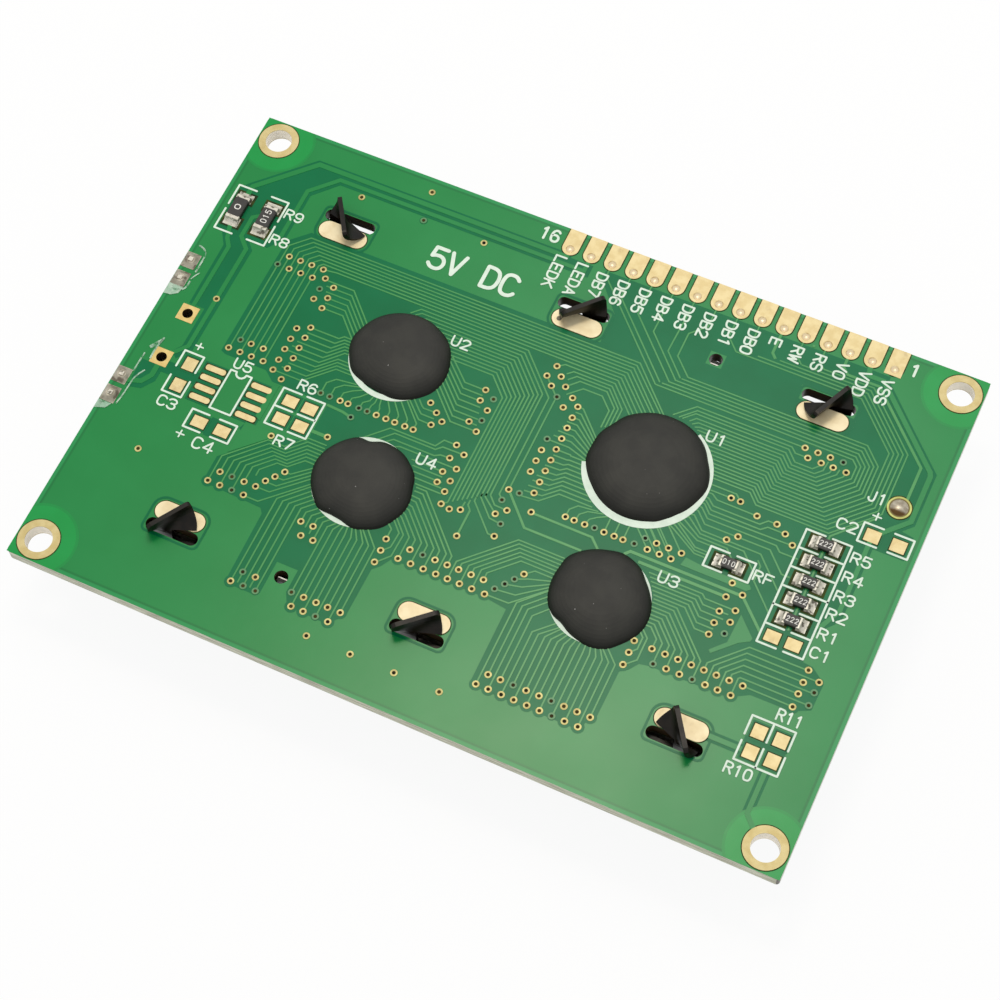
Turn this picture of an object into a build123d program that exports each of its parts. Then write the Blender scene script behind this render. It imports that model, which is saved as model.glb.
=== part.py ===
from build123d import *
from math import asin, cos, degrees, radians, sin
import os

# Character display module, lying on the face of its bezel with the component side up.
# X runs along the long side of the board, Y points to the edge with the connector pads,
# Z points up and is zero at the face of the bezel. Sizes are in millimetres.

# Board
board_length = 87.0
board_width = 60.0
board_thickness = 1.6
board_corner_radius = 0.4
copper_thickness = 0.05
left_end = -board_length / 2
right_end = board_length / 2

# Mounting holes, one in each corner, plated through
mounting_hole_diameter = 3.0
mounting_hole_inset = 2.5
mounting_pad_diameter = 4.6

# Connector pads along the edge, counted from the right-hand end
connector_pad_count = 16
connector_pitch = 2.54
connector_first_pad_from_end = 9.95
connector_pad_width = 1.9
connector_pad_length = 3.3
connector_hole_diameter = 1.0
connector_hole_from_edge = 2.5

# Bezel, pressed from sheet steel
bezel_from_board_end = 7.75
bezel_length = board_length - 2 * bezel_from_board_end
bezel_width = 42.46
bezel_depth = 9.3
bezel_thickness = 0.5
bezel_fold_radius = 0.8
bezel_corner_gap = 0.3
bezel_corner_gap_start = 1.2
window_end_border = 4.85
window_side_border = 8.63
window_length = bezel_length - 2 * window_end_border
window_width = bezel_width - 2 * window_side_border
window_corner_radius = 0.6

# Tabs of the bezel that pass through the board and are twisted
outer_tab_from_bezel_end = 7.17
tab_pitch = bezel_length / 2 - outer_tab_from_bezel_end
tab_width = 5.2
tab_height = 2.3
tab_axis_offset = 0.9
tab_corner_radius = 0.5
tab_wing_lift = 0.12
tab_turn_ease = 3
slot_side_clearance = 0.475
slot_end_clearance = 0.45
slot_working_clearance = 0.1

# Locating nibs of the bezel and their holes in the board
nib_offset = 15.6
nib_width = 1.1
nib_height = 0.85
nib_hole_diameter = 1.5

# Gold pads that the wings of the tabs touch
ground_pad_length = 5.75
ground_pad_width = 2.2
ground_pad_gap = 0.05

# Display cell
polarizer_border = 1.6
polarizer_thickness = 0.2
glass_thickness = 1.1
glass_clearance = 0.33
glass_ledge_width = 3.9
seal_thickness = 0.05
seal_line_width = 1.2
seal_inset = 0.6
glass_corner_chamfer = 0.3

# Rubber contact strips between the glass and the board
contact_strip_end_inset = 1.9
contact_strip_thickness = 2.4
contact_strip_from_rear_glass = 0.6
contact_strip_edge_radius = 0.2
contact_pad_pitch = 1.6
contact_pad_width = 0.8

# Backlight
diffuser_thickness = 0.2
light_guide_thickness = 3.0
reflector_thickness = 0.2
sheet_clearance = 0.2
frame_wall = 1.0
frame_end_wall = 0.7
frame_floor = 1.0
frame_rib_count = 5
frame_rib_thickness = 0.8
frame_from_board_end = 1.9
frame_from_bezel_end = 0.75
frame_from_contact_strip = 0.4
frame_cutout_clearance = 0.2
lamp_box_skin = 0.8

# Lamps at the left-hand end of the light guide, with their legs soldered in the board
lamp_diameter = 3.0
lamp_flange_diameter = 3.4
lamp_flange_thickness = 0.8
lamp_length = 4.4
lamp_base_from_frame_end = 0.7
lamp_pocket_clearance = 0.2
lamp_leg_pitch = 2.54
lamp_leg_thickness = 0.5
lamp_leg_from_edge = 0.95
lamp_leg_stand = 0.45
lamp_leg_bend_radius = 0.4
upper_lamp_y = 8.03
lower_lamp_y = -7.85
edge_pad_length = 1.7
edge_pad_width = 2.0
edge_pad_inset = 0.05
edge_hole_diameter = 0.9
edge_solder_height = 0.35
edge_solder_top_diameter = 1.0
edge_solder_inset = 0.05
edge_solder_corner_radius = 0.25

# Unused pads for the leads of an array backlight
lead_pad_size = 2.05
lead_pad_from_edge = 3.8
lead_pad_spacing = 6.0
lead_pad_offset = 0.12
lead_hole_diameter = 1.2

# Jumper ring filled with solder
jumper_x = right_end - 3.68
jumper_y = 12.25
jumper_ring_diameter = 2.6
jumper_hole_diameter = 1.9
jumper_solder_height = 0.3

# Resin caps over the bonded chips: x, y, diameter. The shoulder and the flat top of a cap
# are given as shares of its radius and height
chip_cap_height = 1.6
chip_cap_shoulder = (0.9, 0.85)
chip_cap_flat_share = 0.55
chip_caps = {
    "chip_cap_u1": (14.15, 6.15, 13.4),
    "chip_cap_u2": (-15.8, 7.85, 11.4),
    "chip_cap_u3": (15.55, -9.65, 11.2),
    "chip_cap_u4": (-12.85, -7.65, 11.4),
}

# Chip resistors: length, width, height and terminal length of the two case sizes
small_resistor = (2.0, 1.25, 0.5, 0.4)
large_resistor = (3.2, 1.6, 0.6, 0.5)
resistor_pad_overhang = 0.1
resistor_glaze_thickness = 0.03
resistor_glaze_inset = 0.05
resistor_terminal_edge_radius = 0.08

# Solder at the ends of a resistor. Its climb and its hollow are shares of the resistor's height,
# and the hollow's place along the pad is a share of the solder's length
resistor_solder_length = 0.55
resistor_solder_toe_height = 0.02
resistor_solder_climb = 0.85
resistor_solder_hollow = (0.36, 0.3)

# The bank of small resistors stands in a column, one row to each value
bank_x = right_end - 9.04
bank_top_row_y = 5.02
bank_row_pitch = 2.32
bank_names = ("r5", "r4", "r3", "r2", "r1")

# Every other resistor by itself: x, y, turn in degrees
single_resistors = {
    "rf": (right_end - 17.36, -0.95, 0, small_resistor),
    "r9": (left_end + 2.63, 17.4, 90, large_resistor),
    "r8": (left_end + 6.15, 17.4, 90, large_resistor),
}

# Bare solder pads of parts that are not fitted: x, y, length and width of one pad,
# distance between the two pads, and the direction in which they lie side by side
bare_pad_pairs = {
    "c1": (right_end - 9.1, -6.58, 1.6, 1.3, 2.28, "x"),
    "c2": (right_end - 3.62, 8.05, 1.6, 1.46, 2.85, "x"),
    "c3": (left_end + 7.13, -3.87, 1.4, 1.54, 2.8, "y"),
    "c4": (left_end + 12.8, -8.35, 1.65, 1.3, 2.77, "x"),
    "r6": (-23.05, -2.15, 1.58, 1.3, 2.32, "x"),
    "r7": (-23.05, -4.45, 1.58, 1.3, 2.32, "x"),
    "r10": (right_end - 6.4, -18.98, 1.42, 1.5, 2.33, "x"),
    "r11": (right_end - 6.4, -16.65, 1.42, 1.5, 2.33, "x"),
}

# Eight bare pads for a small integrated circuit
circuit_pads_x = left_end + 12.85
circuit_pads_y = -3.85
circuit_pad_length = 2.4
circuit_pad_width = 0.68
circuit_pad_pitch = 1.27
circuit_pad_span = 5.6
circuit_pads_per_side = 4
circuit_pad_end_radius = 0.3

# Display cell and backlight, held by the bezel and the board
glass_length = bezel_length - 2 * (bezel_thickness + glass_clearance)
front_glass_width = bezel_width - 2 * (bezel_thickness + glass_clearance)
rear_glass_width = front_glass_width - 2 * glass_ledge_width
polarizer_length = window_length + 2 * polarizer_border
polarizer_width = window_width + 2 * polarizer_border
contact_strip_length = glass_length - 2 * contact_strip_end_inset
contact_strip_y = rear_glass_width / 2 + contact_strip_from_rear_glass + contact_strip_thickness / 2
contact_pad_count = int((contact_strip_length - contact_pad_width) / contact_pad_pitch)
frame_width = 2 * (contact_strip_y - contact_strip_thickness / 2 - frame_from_contact_strip)
frame_left_end = left_end + frame_from_board_end
frame_right_end = bezel_length / 2 - bezel_thickness - frame_from_bezel_end
frame_cavity_width = frame_width - 2 * frame_wall
light_guide_width = frame_cavity_width - 2 * sheet_clearance
light_guide_right_end = frame_right_end - frame_wall - sheet_clearance
lamp_base_x = frame_left_end + lamp_base_from_frame_end
light_guide_left_end = lamp_base_x + lamp_length

# Heights of the layers, from the face of the bezel to the back of the board
front_polarizer_z = bezel_thickness
front_glass_z = front_polarizer_z + polarizer_thickness
seal_z = front_glass_z + glass_thickness
rear_glass_z = seal_z + seal_thickness
rear_polarizer_z = rear_glass_z + glass_thickness
diffuser_z = rear_polarizer_z + polarizer_thickness
light_guide_z = diffuser_z + diffuser_thickness
reflector_z = light_guide_z + light_guide_thickness
frame_floor_z = reflector_z + reflector_thickness
board_front_z = bezel_depth
board_back_z = board_front_z + board_thickness
copper_top_z = board_back_z + copper_thickness
copper_bottom_z = board_front_z - copper_thickness

# Places that follow from the sizes above
tab_line_y = bezel_width / 2 - bezel_thickness / 2
slot_length = tab_width + 2 * slot_end_clearance
slot_width = bezel_thickness + 2 * slot_side_clearance
ground_pad_y = tab_line_y - slot_width / 2 - ground_pad_gap - ground_pad_width / 2
mounting_x = right_end - mounting_hole_inset
mounting_y = board_width / 2 - mounting_hole_inset
connector_first_x = right_end - connector_first_pad_from_end
connector_hole_y = board_width / 2 - connector_hole_from_edge
lamp_axis_z = light_guide_z + light_guide_thickness / 2
lamp_leg_x = left_end + lamp_leg_from_edge
lead_pad_x = left_end + lead_pad_from_edge
edge_pad_x = left_end + edge_pad_inset + edge_pad_length / 2

# Tabs: x of the slot, side of the wall, side that stays joined to the wall, turn in degrees
tabs = (
    (-tab_pitch, 1, -1, -57),
    (0.0, 1, 1, 47),
    (tab_pitch, 1, 1, 65),
    (-tab_pitch, -1, -1, 57),
    (0.0, -1, -1, 42),
    (tab_pitch, -1, 1, -56),
)

# Steps of a tab's height at which its outline is drawn, as shares of the two heights
steps_in_slot = (0.35, 0.7, 1.0)
steps_above_board = (0.04, 0.09, 0.15, 0.22, 0.3, 0.4, 0.52, 0.66, 0.8, 0.88, 0.94, 0.98, 1.0)

# How far a cutter runs past the faces that it opens
cutter_margin = 1.0

on_top = (Align.CENTER, Align.CENTER, Align.MIN)
hanging = (Align.CENTER, Align.CENTER, Align.MAX)


def block(low, high):
    """A box between two corners."""
    size = [high[axis] - low[axis] for axis in range(3)]
    middle = [(high[axis] + low[axis]) / 2 for axis in range(3)]
    return Pos(*middle) * Box(*size)


def plate(outline, low_z, thickness):
    """A flat piece of an outline drawn on the XY plane, standing on low_z."""
    return Pos(0, 0, low_z) * extrude(outline, thickness)


def round_hole(x, y, diameter):
    """A cutter for a hole through the board and its copper."""
    depth = board_thickness + 4 * copper_thickness
    middle_z = board_front_z + board_thickness / 2
    return Pos(x, y, middle_z) * Cylinder(diameter / 2, depth)


def write(name, solids):
    """One node: a single solid, or a group of separate solids."""
    solids = solids if isinstance(solids, list) else [solids]
    shape = solids[0] if len(solids) == 1 else Compound(children=solids)
    export_step(shape, "parts/" + name + ".step")


def mounting_points():
    return [(x, y) for x in (-mounting_x, mounting_x) for y in (-mounting_y, mounting_y)]


def connector_points():
    return [(connector_first_x - connector_pitch * k, connector_hole_y) for k in range(connector_pad_count)]


def lead_points():
    return [(lead_pad_x, lead_pad_offset + side * lead_pad_spacing / 2) for side in (-1, 1)]


def lamp_leg_points(lamp_y):
    return [(lamp_leg_x, lamp_y + side * lamp_leg_pitch / 2) for side in (-1, 1)]


def nib_points():
    return [(nib_offset, tab_line_y), (-nib_offset, -tab_line_y)]


def circuit_board():
    outline = RectangleRounded(board_length, board_width, board_corner_radius)
    board = plate(outline, board_front_z, board_thickness)
    barrel = 2 * copper_thickness
    holes = [round_hole(x, y, mounting_hole_diameter + barrel) for x, y in mounting_points()]
    holes += [round_hole(x, y, connector_hole_diameter + barrel) for x, y in connector_points()]
    holes += [round_hole(x, y, lead_hole_diameter + barrel) for x, y in lead_points()]
    holes += [round_hole(jumper_x, jumper_y, jumper_hole_diameter + barrel)]
    for lamp_y in (upper_lamp_y, lower_lamp_y):
        holes += [round_hole(x, y, edge_hole_diameter + barrel) for x, y in lamp_leg_points(lamp_y)]
    holes += [round_hole(x, y, nib_hole_diameter) for x, y in nib_points()]
    for x, side, _, _ in tabs:
        slot = SlotOverall(slot_length, slot_width)
        holes.append(Pos(x, side * tab_line_y, 0) * plate(slot, board_front_z, board_thickness))
    return board - holes


def plated_hole(x, y, outline, hole_diameter):
    """Copper on both faces of the board, joined by the plated wall of the hole."""
    top = plate(outline, board_back_z, copper_thickness)
    bottom = plate(outline, copper_bottom_z, copper_thickness)
    wall = Pos(x, y, board_front_z) * Cylinder(
        hole_diameter / 2 + copper_thickness, board_thickness, align=on_top
    )
    return top + bottom + wall - round_hole(x, y, hole_diameter)


def mounting_hole_plating():
    return [
        plated_hole(x, y, Pos(x, y) * Circle(mounting_pad_diameter / 2), mounting_hole_diameter)
        for x, y in mounting_points()
    ]


def connector_pad_outline(x, square):
    """A pad from the edge of the board inwards, with a round inner end unless it is the first."""
    edge_y = board_width / 2
    end_radius = connector_pad_width / 2
    straight = connector_pad_length if square else connector_pad_length - end_radius
    outline = Pos(x, edge_y - straight / 2) * Rectangle(connector_pad_width, straight)
    if square:
        return outline
    return outline + Pos(x, edge_y - straight) * Circle(end_radius)


def connector_pads():
    pads = []
    for number, (x, y) in enumerate(connector_points()):
        outline = connector_pad_outline(x, number == 0)
        pads.append(plated_hole(x, y, outline, connector_hole_diameter))
    return pads


def solder_plug(x, y, diameter, dimple):
    """Solder that fills a plated hole, with a hollow in its back face."""
    height = board_thickness + 2 * copper_thickness
    plug = Pos(x, y, copper_bottom_z) * Cylinder(diameter / 2, height, align=on_top)
    radius = (diameter * diameter / 4 + dimple * dimple) / (2 * dimple)
    return plug - Pos(x, y, copper_top_z + radius - dimple) * Sphere(radius)


def connector_solder():
    dimple = connector_hole_diameter / 4
    return [solder_plug(x, y, connector_hole_diameter, dimple) for x, y in connector_points()]


def lead_pads():
    return [
        plated_hole(x, y, Pos(x, y) * Rectangle(lead_pad_size, lead_pad_size), lead_hole_diameter)
        for x, y in lead_points()
    ]


def jumper_ring():
    outline = Pos(jumper_x, jumper_y) * Circle(jumper_ring_diameter / 2)
    return plated_hole(jumper_x, jumper_y, outline, jumper_hole_diameter)


def jumper_solder():
    """Solder that fills the ring and stands above it in a low dome."""
    radius = jumper_hole_diameter / 2
    plug_height = copper_top_z - copper_bottom_z
    ball = (radius * radius + jumper_solder_height**2) / (2 * jumper_solder_height)
    cap = Pos(0, 0, copper_top_z + jumper_solder_height - ball) * Sphere(ball)
    room = Pos(0, 0, copper_bottom_z) * Cylinder(radius, plug_height + jumper_solder_height, align=on_top)
    plug = Pos(0, 0, copper_bottom_z) * Cylinder(radius, plug_height, align=on_top)
    return Pos(jumper_x, jumper_y, 0) * (plug + (cap & room))


def ground_pads():
    outline = SlotOverall(ground_pad_length, ground_pad_width)
    return [
        Pos(x, side * ground_pad_y, 0) * plate(outline, board_back_z, copper_thickness)
        for x, side, _, _ in tabs
    ]


def bare_pads():
    """Pads of the capacitors, resistors and the circuit that are left off this version."""
    pads = []
    for x, y, length, width, spacing, direction in bare_pad_pairs.values():
        outline = Rectangle(length, width)
        for side in (-0.5, 0.5):
            shift = (side * spacing, 0) if direction == "x" else (0, side * spacing)
            pads.append(Pos(x + shift[0], y + shift[1], 0) * plate(outline, board_back_z, copper_thickness))
    circuit_pad = RectangleRounded(circuit_pad_length, circuit_pad_width, circuit_pad_end_radius)
    top_row = circuit_pads_y + circuit_pad_pitch * (circuit_pads_per_side - 1) / 2
    for row in range(circuit_pads_per_side):
        for side in (-0.5, 0.5):
            x = circuit_pads_x + side * circuit_pad_span
            y = top_row - row * circuit_pad_pitch
            pads.append(Pos(x, y, 0) * plate(circuit_pad, board_back_z, copper_thickness))
    return pads


def chip_cap(x, y, diameter):
    """A low drop of resin: steep at its rim and nearly flat on top."""
    radius = diameter / 2
    rim = (radius, 0)
    crown = (0, chip_cap_height)
    shoulder = (radius * chip_cap_shoulder[0], chip_cap_height * chip_cap_shoulder[1])
    flat_top = (radius * chip_cap_flat_share, chip_cap_height)
    dome = Bezier(rim, shoulder, flat_top, crown)
    profile = make_face([dome, Line(crown, (0, 0)), Line((0, 0), rim)])
    return Pos(x, y, board_back_z) * revolve(Plane.XZ * profile, Axis.Z)


def resistor_body(size):
    """A ceramic chip with a dark glaze on top, between its two terminals."""
    length, width, height, terminal = size
    bare_length = length - 2 * terminal
    chip = Box(bare_length, width, height - resistor_glaze_thickness, align=on_top)
    glaze = Pos(0, 0, height - resistor_glaze_thickness) * Box(
        bare_length, width - 2 * resistor_glaze_inset, resistor_glaze_thickness, align=on_top
    )
    return chip + glaze


def resistor_terminals(size):
    length, width, height, terminal = size
    end = Box(terminal, width, height, align=on_top)
    end = fillet(end.edges().filter_by(Axis.Y), resistor_terminal_edge_radius)
    shift = (length - terminal) / 2
    return [Pos(-shift, 0, 0) * end, Pos(shift, 0, 0) * end]


def resistor_solder(size):
    """A hollow fillet of solder from each end face down to the outer end of its pad."""
    length, width, height, _ = size
    heel = (0, 0)
    toe = (resistor_solder_length, 0)
    toe_top = (resistor_solder_length, resistor_solder_toe_height)
    top = (0, height * resistor_solder_climb)
    hollow = (resistor_solder_length * resistor_solder_hollow[0], height * resistor_solder_hollow[1])
    surface = ThreePointArc(top, hollow, toe_top)
    profile = make_face([Line(heel, top), surface, Line(toe_top, toe), Line(toe, heel)])
    fillet_body = extrude(Plane.XZ * profile, width / 2 + resistor_pad_overhang / 2, both=True)
    right = Pos(length / 2, 0, 0) * fillet_body
    return [right, Rot(0, 0, 180) * right]


def resistor_pads(size):
    """The two copper pads that a resistor and its solder stand on."""
    length, width, _, terminal = size
    pad = Box(
        terminal + resistor_solder_length + resistor_pad_overhang,
        width + 2 * resistor_pad_overhang,
        copper_thickness,
        align=hanging,
    )
    middle = length / 2 - terminal + (terminal + resistor_solder_length + resistor_pad_overhang) / 2
    return [Pos(-middle, 0, 0) * pad, Pos(middle, 0, 0) * pad]


def resistor_places():
    places = {}
    for row, name in enumerate(bank_names):
        places[name] = (bank_x, bank_top_row_y - row * bank_row_pitch, 0, small_resistor)
    places.update(single_resistors)
    return places


def tab_sections(turn):
    """Outlines of a tab from the wall upwards, as (height, angle, width) about its twist axis."""
    joined_reach = tab_width / 2 - tab_axis_offset
    free_swing = slot_side_clearance - slot_working_clearance
    slot_turn = degrees(asin(free_swing / joined_reach))
    slot_turn = slot_turn if turn > 0 else -slot_turn
    sections = [(0.0, 0.0, tab_width)]
    for share in steps_in_slot:
        sections.append((share * board_thickness, slot_turn * share**2, tab_width))
    for share in steps_above_board:
        below_top = (1 - share) * tab_height
        rounding = max(0.0, tab_corner_radius - below_top)
        corner = tab_corner_radius - (tab_corner_radius**2 - rounding**2) ** 0.5
        angle = slot_turn + (turn - slot_turn) * (1 - (1 - share) ** tab_turn_ease)
        sections.append((board_thickness + share * tab_height, angle, tab_width - 2 * corner))
    return sections


def twisted_tab(joined_side, turn):
    """A tab on the origin: its joined half rises from the wall, its other half is a free wing."""
    axis_x = joined_side * tab_axis_offset
    outlines = []
    for height, angle, width in tab_sections(turn):
        middle_x = axis_x - axis_x * cos(radians(angle))
        middle_y = -axis_x * sin(radians(angle))
        outline = Rot(0, 0, angle) * Rectangle(width, bezel_thickness)
        outlines.append(Pos(middle_x, middle_y, height) * outline)
    strip = loft(outlines, ruled=True)
    wing_z = board_thickness + copper_thickness + tab_wing_lift
    reach = 2 * tab_width
    relief = Pos(-joined_side * reach / 2, 0, 0) * Box(reach, reach, 2 * wing_z)
    return strip - relief


def bezel():
    """One pressed piece: face with a window, four walls, six twisted tabs and two nibs."""
    shell = Box(bezel_length, bezel_width, bezel_depth, align=on_top)
    fold_edges = shell.edges().group_by(Axis.Z)[0]
    shell = fillet(fold_edges, bezel_fold_radius)
    inside = Box(
        bezel_length - 2 * bezel_thickness, bezel_width - 2 * bezel_thickness, bezel_depth, align=on_top
    )
    inside = fillet(inside.edges().group_by(Axis.Z)[0], bezel_fold_radius - bezel_thickness)
    shell -= Pos(0, 0, bezel_thickness) * inside
    window = RectangleRounded(window_length, window_width, window_corner_radius)
    shell -= plate(window, 0, bezel_thickness)
    for x_side in (-1, 1):
        for y_side in (-1, 1):
            gap = Pos(
                x_side * (bezel_length / 2 - bezel_thickness / 2),
                y_side * (bezel_width / 2 - bezel_thickness / 2),
                bezel_corner_gap_start,
            )
            size = bezel_thickness + bezel_corner_gap
            shell -= gap * Box(size, size, bezel_depth, align=on_top)
    cutout_half_width = frame_width / 2 + frame_cutout_clearance
    shell -= block(
        (-bezel_length / 2 - cutter_margin, -cutout_half_width, rear_polarizer_z - lamp_box_skin),
        (-bezel_length / 2 + bezel_thickness, cutout_half_width, bezel_depth),
    )
    for x, side, joined_side, turn in tabs:
        shell += Pos(x, side * tab_line_y, board_front_z) * twisted_tab(joined_side, turn)
    for x, y in nib_points():
        shell += Pos(x, y, board_front_z) * Box(nib_width, bezel_thickness, nib_height, align=on_top)
    return shell


def glass_plate(width, low_z):
    sheet = plate(Rectangle(glass_length, width), low_z, glass_thickness)
    return chamfer(sheet.edges().filter_by(Axis.Z), glass_corner_chamfer)


def cell_seal():
    outer_length = glass_length - 2 * seal_inset
    outer_width = rear_glass_width - 2 * seal_inset
    ring = Rectangle(outer_length, outer_width) - Rectangle(
        outer_length - 2 * seal_line_width, outer_width - 2 * seal_line_width
    )
    return plate(ring, seal_z, seal_thickness)


def polarizer(low_z):
    return plate(Rectangle(polarizer_length, polarizer_width), low_z, polarizer_thickness)


def contact_strip(side):
    height = copper_bottom_z - seal_z
    strip = Box(contact_strip_length, contact_strip_thickness, height, align=on_top)
    strip = fillet(strip.edges().filter_by(Axis.Z), contact_strip_edge_radius)
    return Pos(0, side * contact_strip_y, seal_z) * strip


def contact_pads():
    """The gold fingers on the front of the board that the rubber strips press on."""
    pads = []
    first_x = -contact_pad_pitch * (contact_pad_count - 1) / 2
    for side in (-1, 1):
        for k in range(contact_pad_count):
            pad = Box(contact_pad_width, contact_strip_thickness, copper_thickness, align=hanging)
            pads.append(Pos(first_x + k * contact_pad_pitch, side * contact_strip_y, board_front_z) * pad)
    return pads


def light_sheet(low_z, thickness):
    """A sheet of the light guide's size."""
    middle_x = (light_guide_left_end + light_guide_right_end) / 2
    length = light_guide_right_end - light_guide_left_end
    return Pos(middle_x, 0, 0) * plate(Rectangle(length, light_guide_width), low_z, thickness)


def diffuser():
    """The diffuser ends inside the bezel, short of the lamps."""
    left = -bezel_length / 2 + bezel_thickness + frame_wall
    length = light_guide_right_end - left
    sheet = plate(Rectangle(length, light_guide_width), diffuser_z, diffuser_thickness)
    return Pos((left + light_guide_right_end) / 2, 0, 0) * sheet


def lamp(lamp_y):
    """A round lamp lying along X, its dome against the end of the light guide."""
    radius = lamp_diameter / 2
    barrel = Cylinder(radius, lamp_length - radius, align=on_top)
    dome = Pos(0, 0, lamp_length - radius) * Sphere(radius)
    flange = Cylinder(lamp_flange_diameter / 2, lamp_flange_thickness, align=on_top)
    return Pos(lamp_base_x, lamp_y, lamp_axis_z) * Rot(0, 90, 0) * (barrel + dome + flange)


def lamp_legs(lamp_y):
    """Two square legs that leave the lamp, turn up and pass through the board."""
    half = lamp_leg_thickness / 2
    legs = []
    for x, y in lamp_leg_points(lamp_y):
        run = block((x - half, y - half, lamp_axis_z - half), (lamp_base_x, y + half, lamp_axis_z + half))
        rise = block(
            (x - half, y - half, lamp_axis_z - half), (x + half, y + half, copper_top_z + lamp_leg_stand)
        )
        leg = run + rise
        bend = leg.edges().filter_by(Axis.Y).sort_by(lambda edge: edge.center().X + edge.center().Z)[0]
        legs.append(fillet(bend, lamp_leg_bend_radius))
    return legs


def edge_pads():
    pads = []
    for lamp_y in (upper_lamp_y, lower_lamp_y):
        for x, y in lamp_leg_points(lamp_y):
            outline = Pos(edge_pad_x, y) * Rectangle(edge_pad_length, edge_pad_width)
            pads.append(plated_hole(x, y, outline, edge_hole_diameter))
    return pads


def edge_solder():
    """A mound of solder round each leg, down to the edges of its pad and through the hole."""
    mounds = []
    half = lamp_leg_thickness / 2
    length = edge_pad_length - 2 * edge_solder_inset
    width = edge_pad_width - 2 * edge_solder_inset
    outline = RectangleRounded(length, width, edge_solder_corner_radius)
    for lamp_y in (upper_lamp_y, lower_lamp_y):
        for x, y in lamp_leg_points(lamp_y):
            foot = Pos(edge_pad_x, y, copper_top_z) * outline
            crown = Pos(x, y, copper_top_z + edge_solder_height) * Circle(edge_solder_top_diameter / 2)
            mound = loft([foot, crown])
            fill = Pos(x, y, copper_bottom_z) * Cylinder(
                edge_hole_diameter / 2, copper_top_z - copper_bottom_z, align=on_top
            )
            leg = block((x - half, y - half, 0), (x + half, y + half, copper_top_z + lamp_leg_stand))
            mounds.append(mound + fill - leg)
    return mounds


def backlight_frame():
    """A moulded tray that holds the light guide, with a box for the lamps at its left end."""
    half_width = frame_width / 2
    tray = block(
        (frame_left_end, -half_width, rear_polarizer_z),
        (frame_right_end, half_width, board_front_z),
    )
    outside_left = -bezel_length / 2 - frame_cutout_clearance
    lamp_box = block(
        (frame_left_end, -half_width, rear_polarizer_z - lamp_box_skin + frame_cutout_clearance),
        (outside_left, half_width, board_front_z),
    )
    tray += lamp_box
    cavity_left = light_guide_left_end - sheet_clearance
    cavity_half = frame_cavity_width / 2
    tray -= block(
        (cavity_left, -cavity_half, rear_polarizer_z),
        (light_guide_right_end + sheet_clearance, cavity_half, frame_floor_z),
    )
    for lamp_y in (upper_lamp_y, lower_lamp_y):
        pocket = lamp_flange_diameter + 2 * lamp_pocket_clearance
        tray -= block(
            (lamp_base_x - lamp_pocket_clearance, lamp_y - pocket / 2, lamp_axis_z - pocket / 2),
            (cavity_left, lamp_y + pocket / 2, lamp_axis_z + pocket / 2),
        )
        for _, y in lamp_leg_points(lamp_y):
            notch = lamp_leg_thickness + 2 * lamp_pocket_clearance
            tray -= block(
                (frame_left_end - cutter_margin, y - notch / 2, lamp_axis_z - notch / 2),
                (lamp_base_x, y + notch / 2, lamp_axis_z + notch / 2),
            )
    pocket_low = frame_floor_z + frame_floor
    bay_count = frame_rib_count + 1
    bays_left = frame_left_end + frame_end_wall
    bays_right = frame_right_end - frame_wall
    bay_pitch = (bays_right - bays_left + frame_rib_thickness) / bay_count
    for k in range(bay_count):
        left = bays_left + k * bay_pitch
        tray -= block(
            (left, frame_wall - half_width, pocket_low),
            (left + bay_pitch - frame_rib_thickness, half_width - frame_wall, board_front_z),
        )
    return tray


def main():
    os.makedirs("parts", exist_ok=True)
    write("circuit_board", circuit_board())
    write("mounting_hole_plating", mounting_hole_plating())
    write("connector_pads", connector_pads())
    write("connector_solder", connector_solder())
    write("lead_pads", lead_pads())
    write("jumper_ring", jumper_ring())
    write("jumper_solder", jumper_solder())
    write("ground_pads", ground_pads())
    write("bare_pads", bare_pads())
    write("bezel", bezel())
    write("front_polarizer", polarizer(front_polarizer_z))
    write("front_glass", glass_plate(front_glass_width, front_glass_z))
    write("cell_seal", cell_seal())
    write("rear_glass", glass_plate(rear_glass_width, rear_glass_z))
    write("rear_polarizer", polarizer(rear_polarizer_z))
    write("contact_strip_upper", contact_strip(1))
    write("contact_strip_lower", contact_strip(-1))
    write("contact_pads", contact_pads())
    write("diffuser", diffuser())
    write("light_guide", light_sheet(light_guide_z, light_guide_thickness))
    write("reflector", light_sheet(reflector_z, reflector_thickness))
    write("backlight_frame", backlight_frame())
    for name, lamp_y in (("upper", upper_lamp_y), ("lower", lower_lamp_y)):
        write("lamp_" + name, lamp(lamp_y))
        write("lamp_legs_" + name, lamp_legs(lamp_y))
    write("edge_pads", edge_pads())
    write("edge_solder", edge_solder())
    for name, (x, y, diameter) in chip_caps.items():
        write(name, chip_cap(x, y, diameter))
    pads = []
    solder = []
    for name, (x, y, turn, size) in resistor_places().items():
        seat = Pos(x, y, copper_top_z) * Rot(0, 0, turn)
        write("resistor_" + name + "_body", seat * resistor_body(size))
        write("resistor_" + name + "_terminals", [seat * end for end in resistor_terminals(size)])
        pads += [seat * pad for pad in resistor_pads(size)]
        solder += [seat * part for part in resistor_solder(size)]
    write("resistor_pads", pads)
    write("resistor_solder", solder)


main()
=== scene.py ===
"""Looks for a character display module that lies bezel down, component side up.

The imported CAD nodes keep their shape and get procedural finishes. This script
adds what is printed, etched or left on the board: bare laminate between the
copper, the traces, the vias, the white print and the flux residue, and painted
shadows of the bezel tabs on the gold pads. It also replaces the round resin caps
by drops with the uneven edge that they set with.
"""

import logging
import math
from dataclasses import dataclass, field, replace
from enum import Enum
from typing import Any, Iterable, Sequence

import bmesh
import bpy
from mathutils import Matrix, Vector


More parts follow.
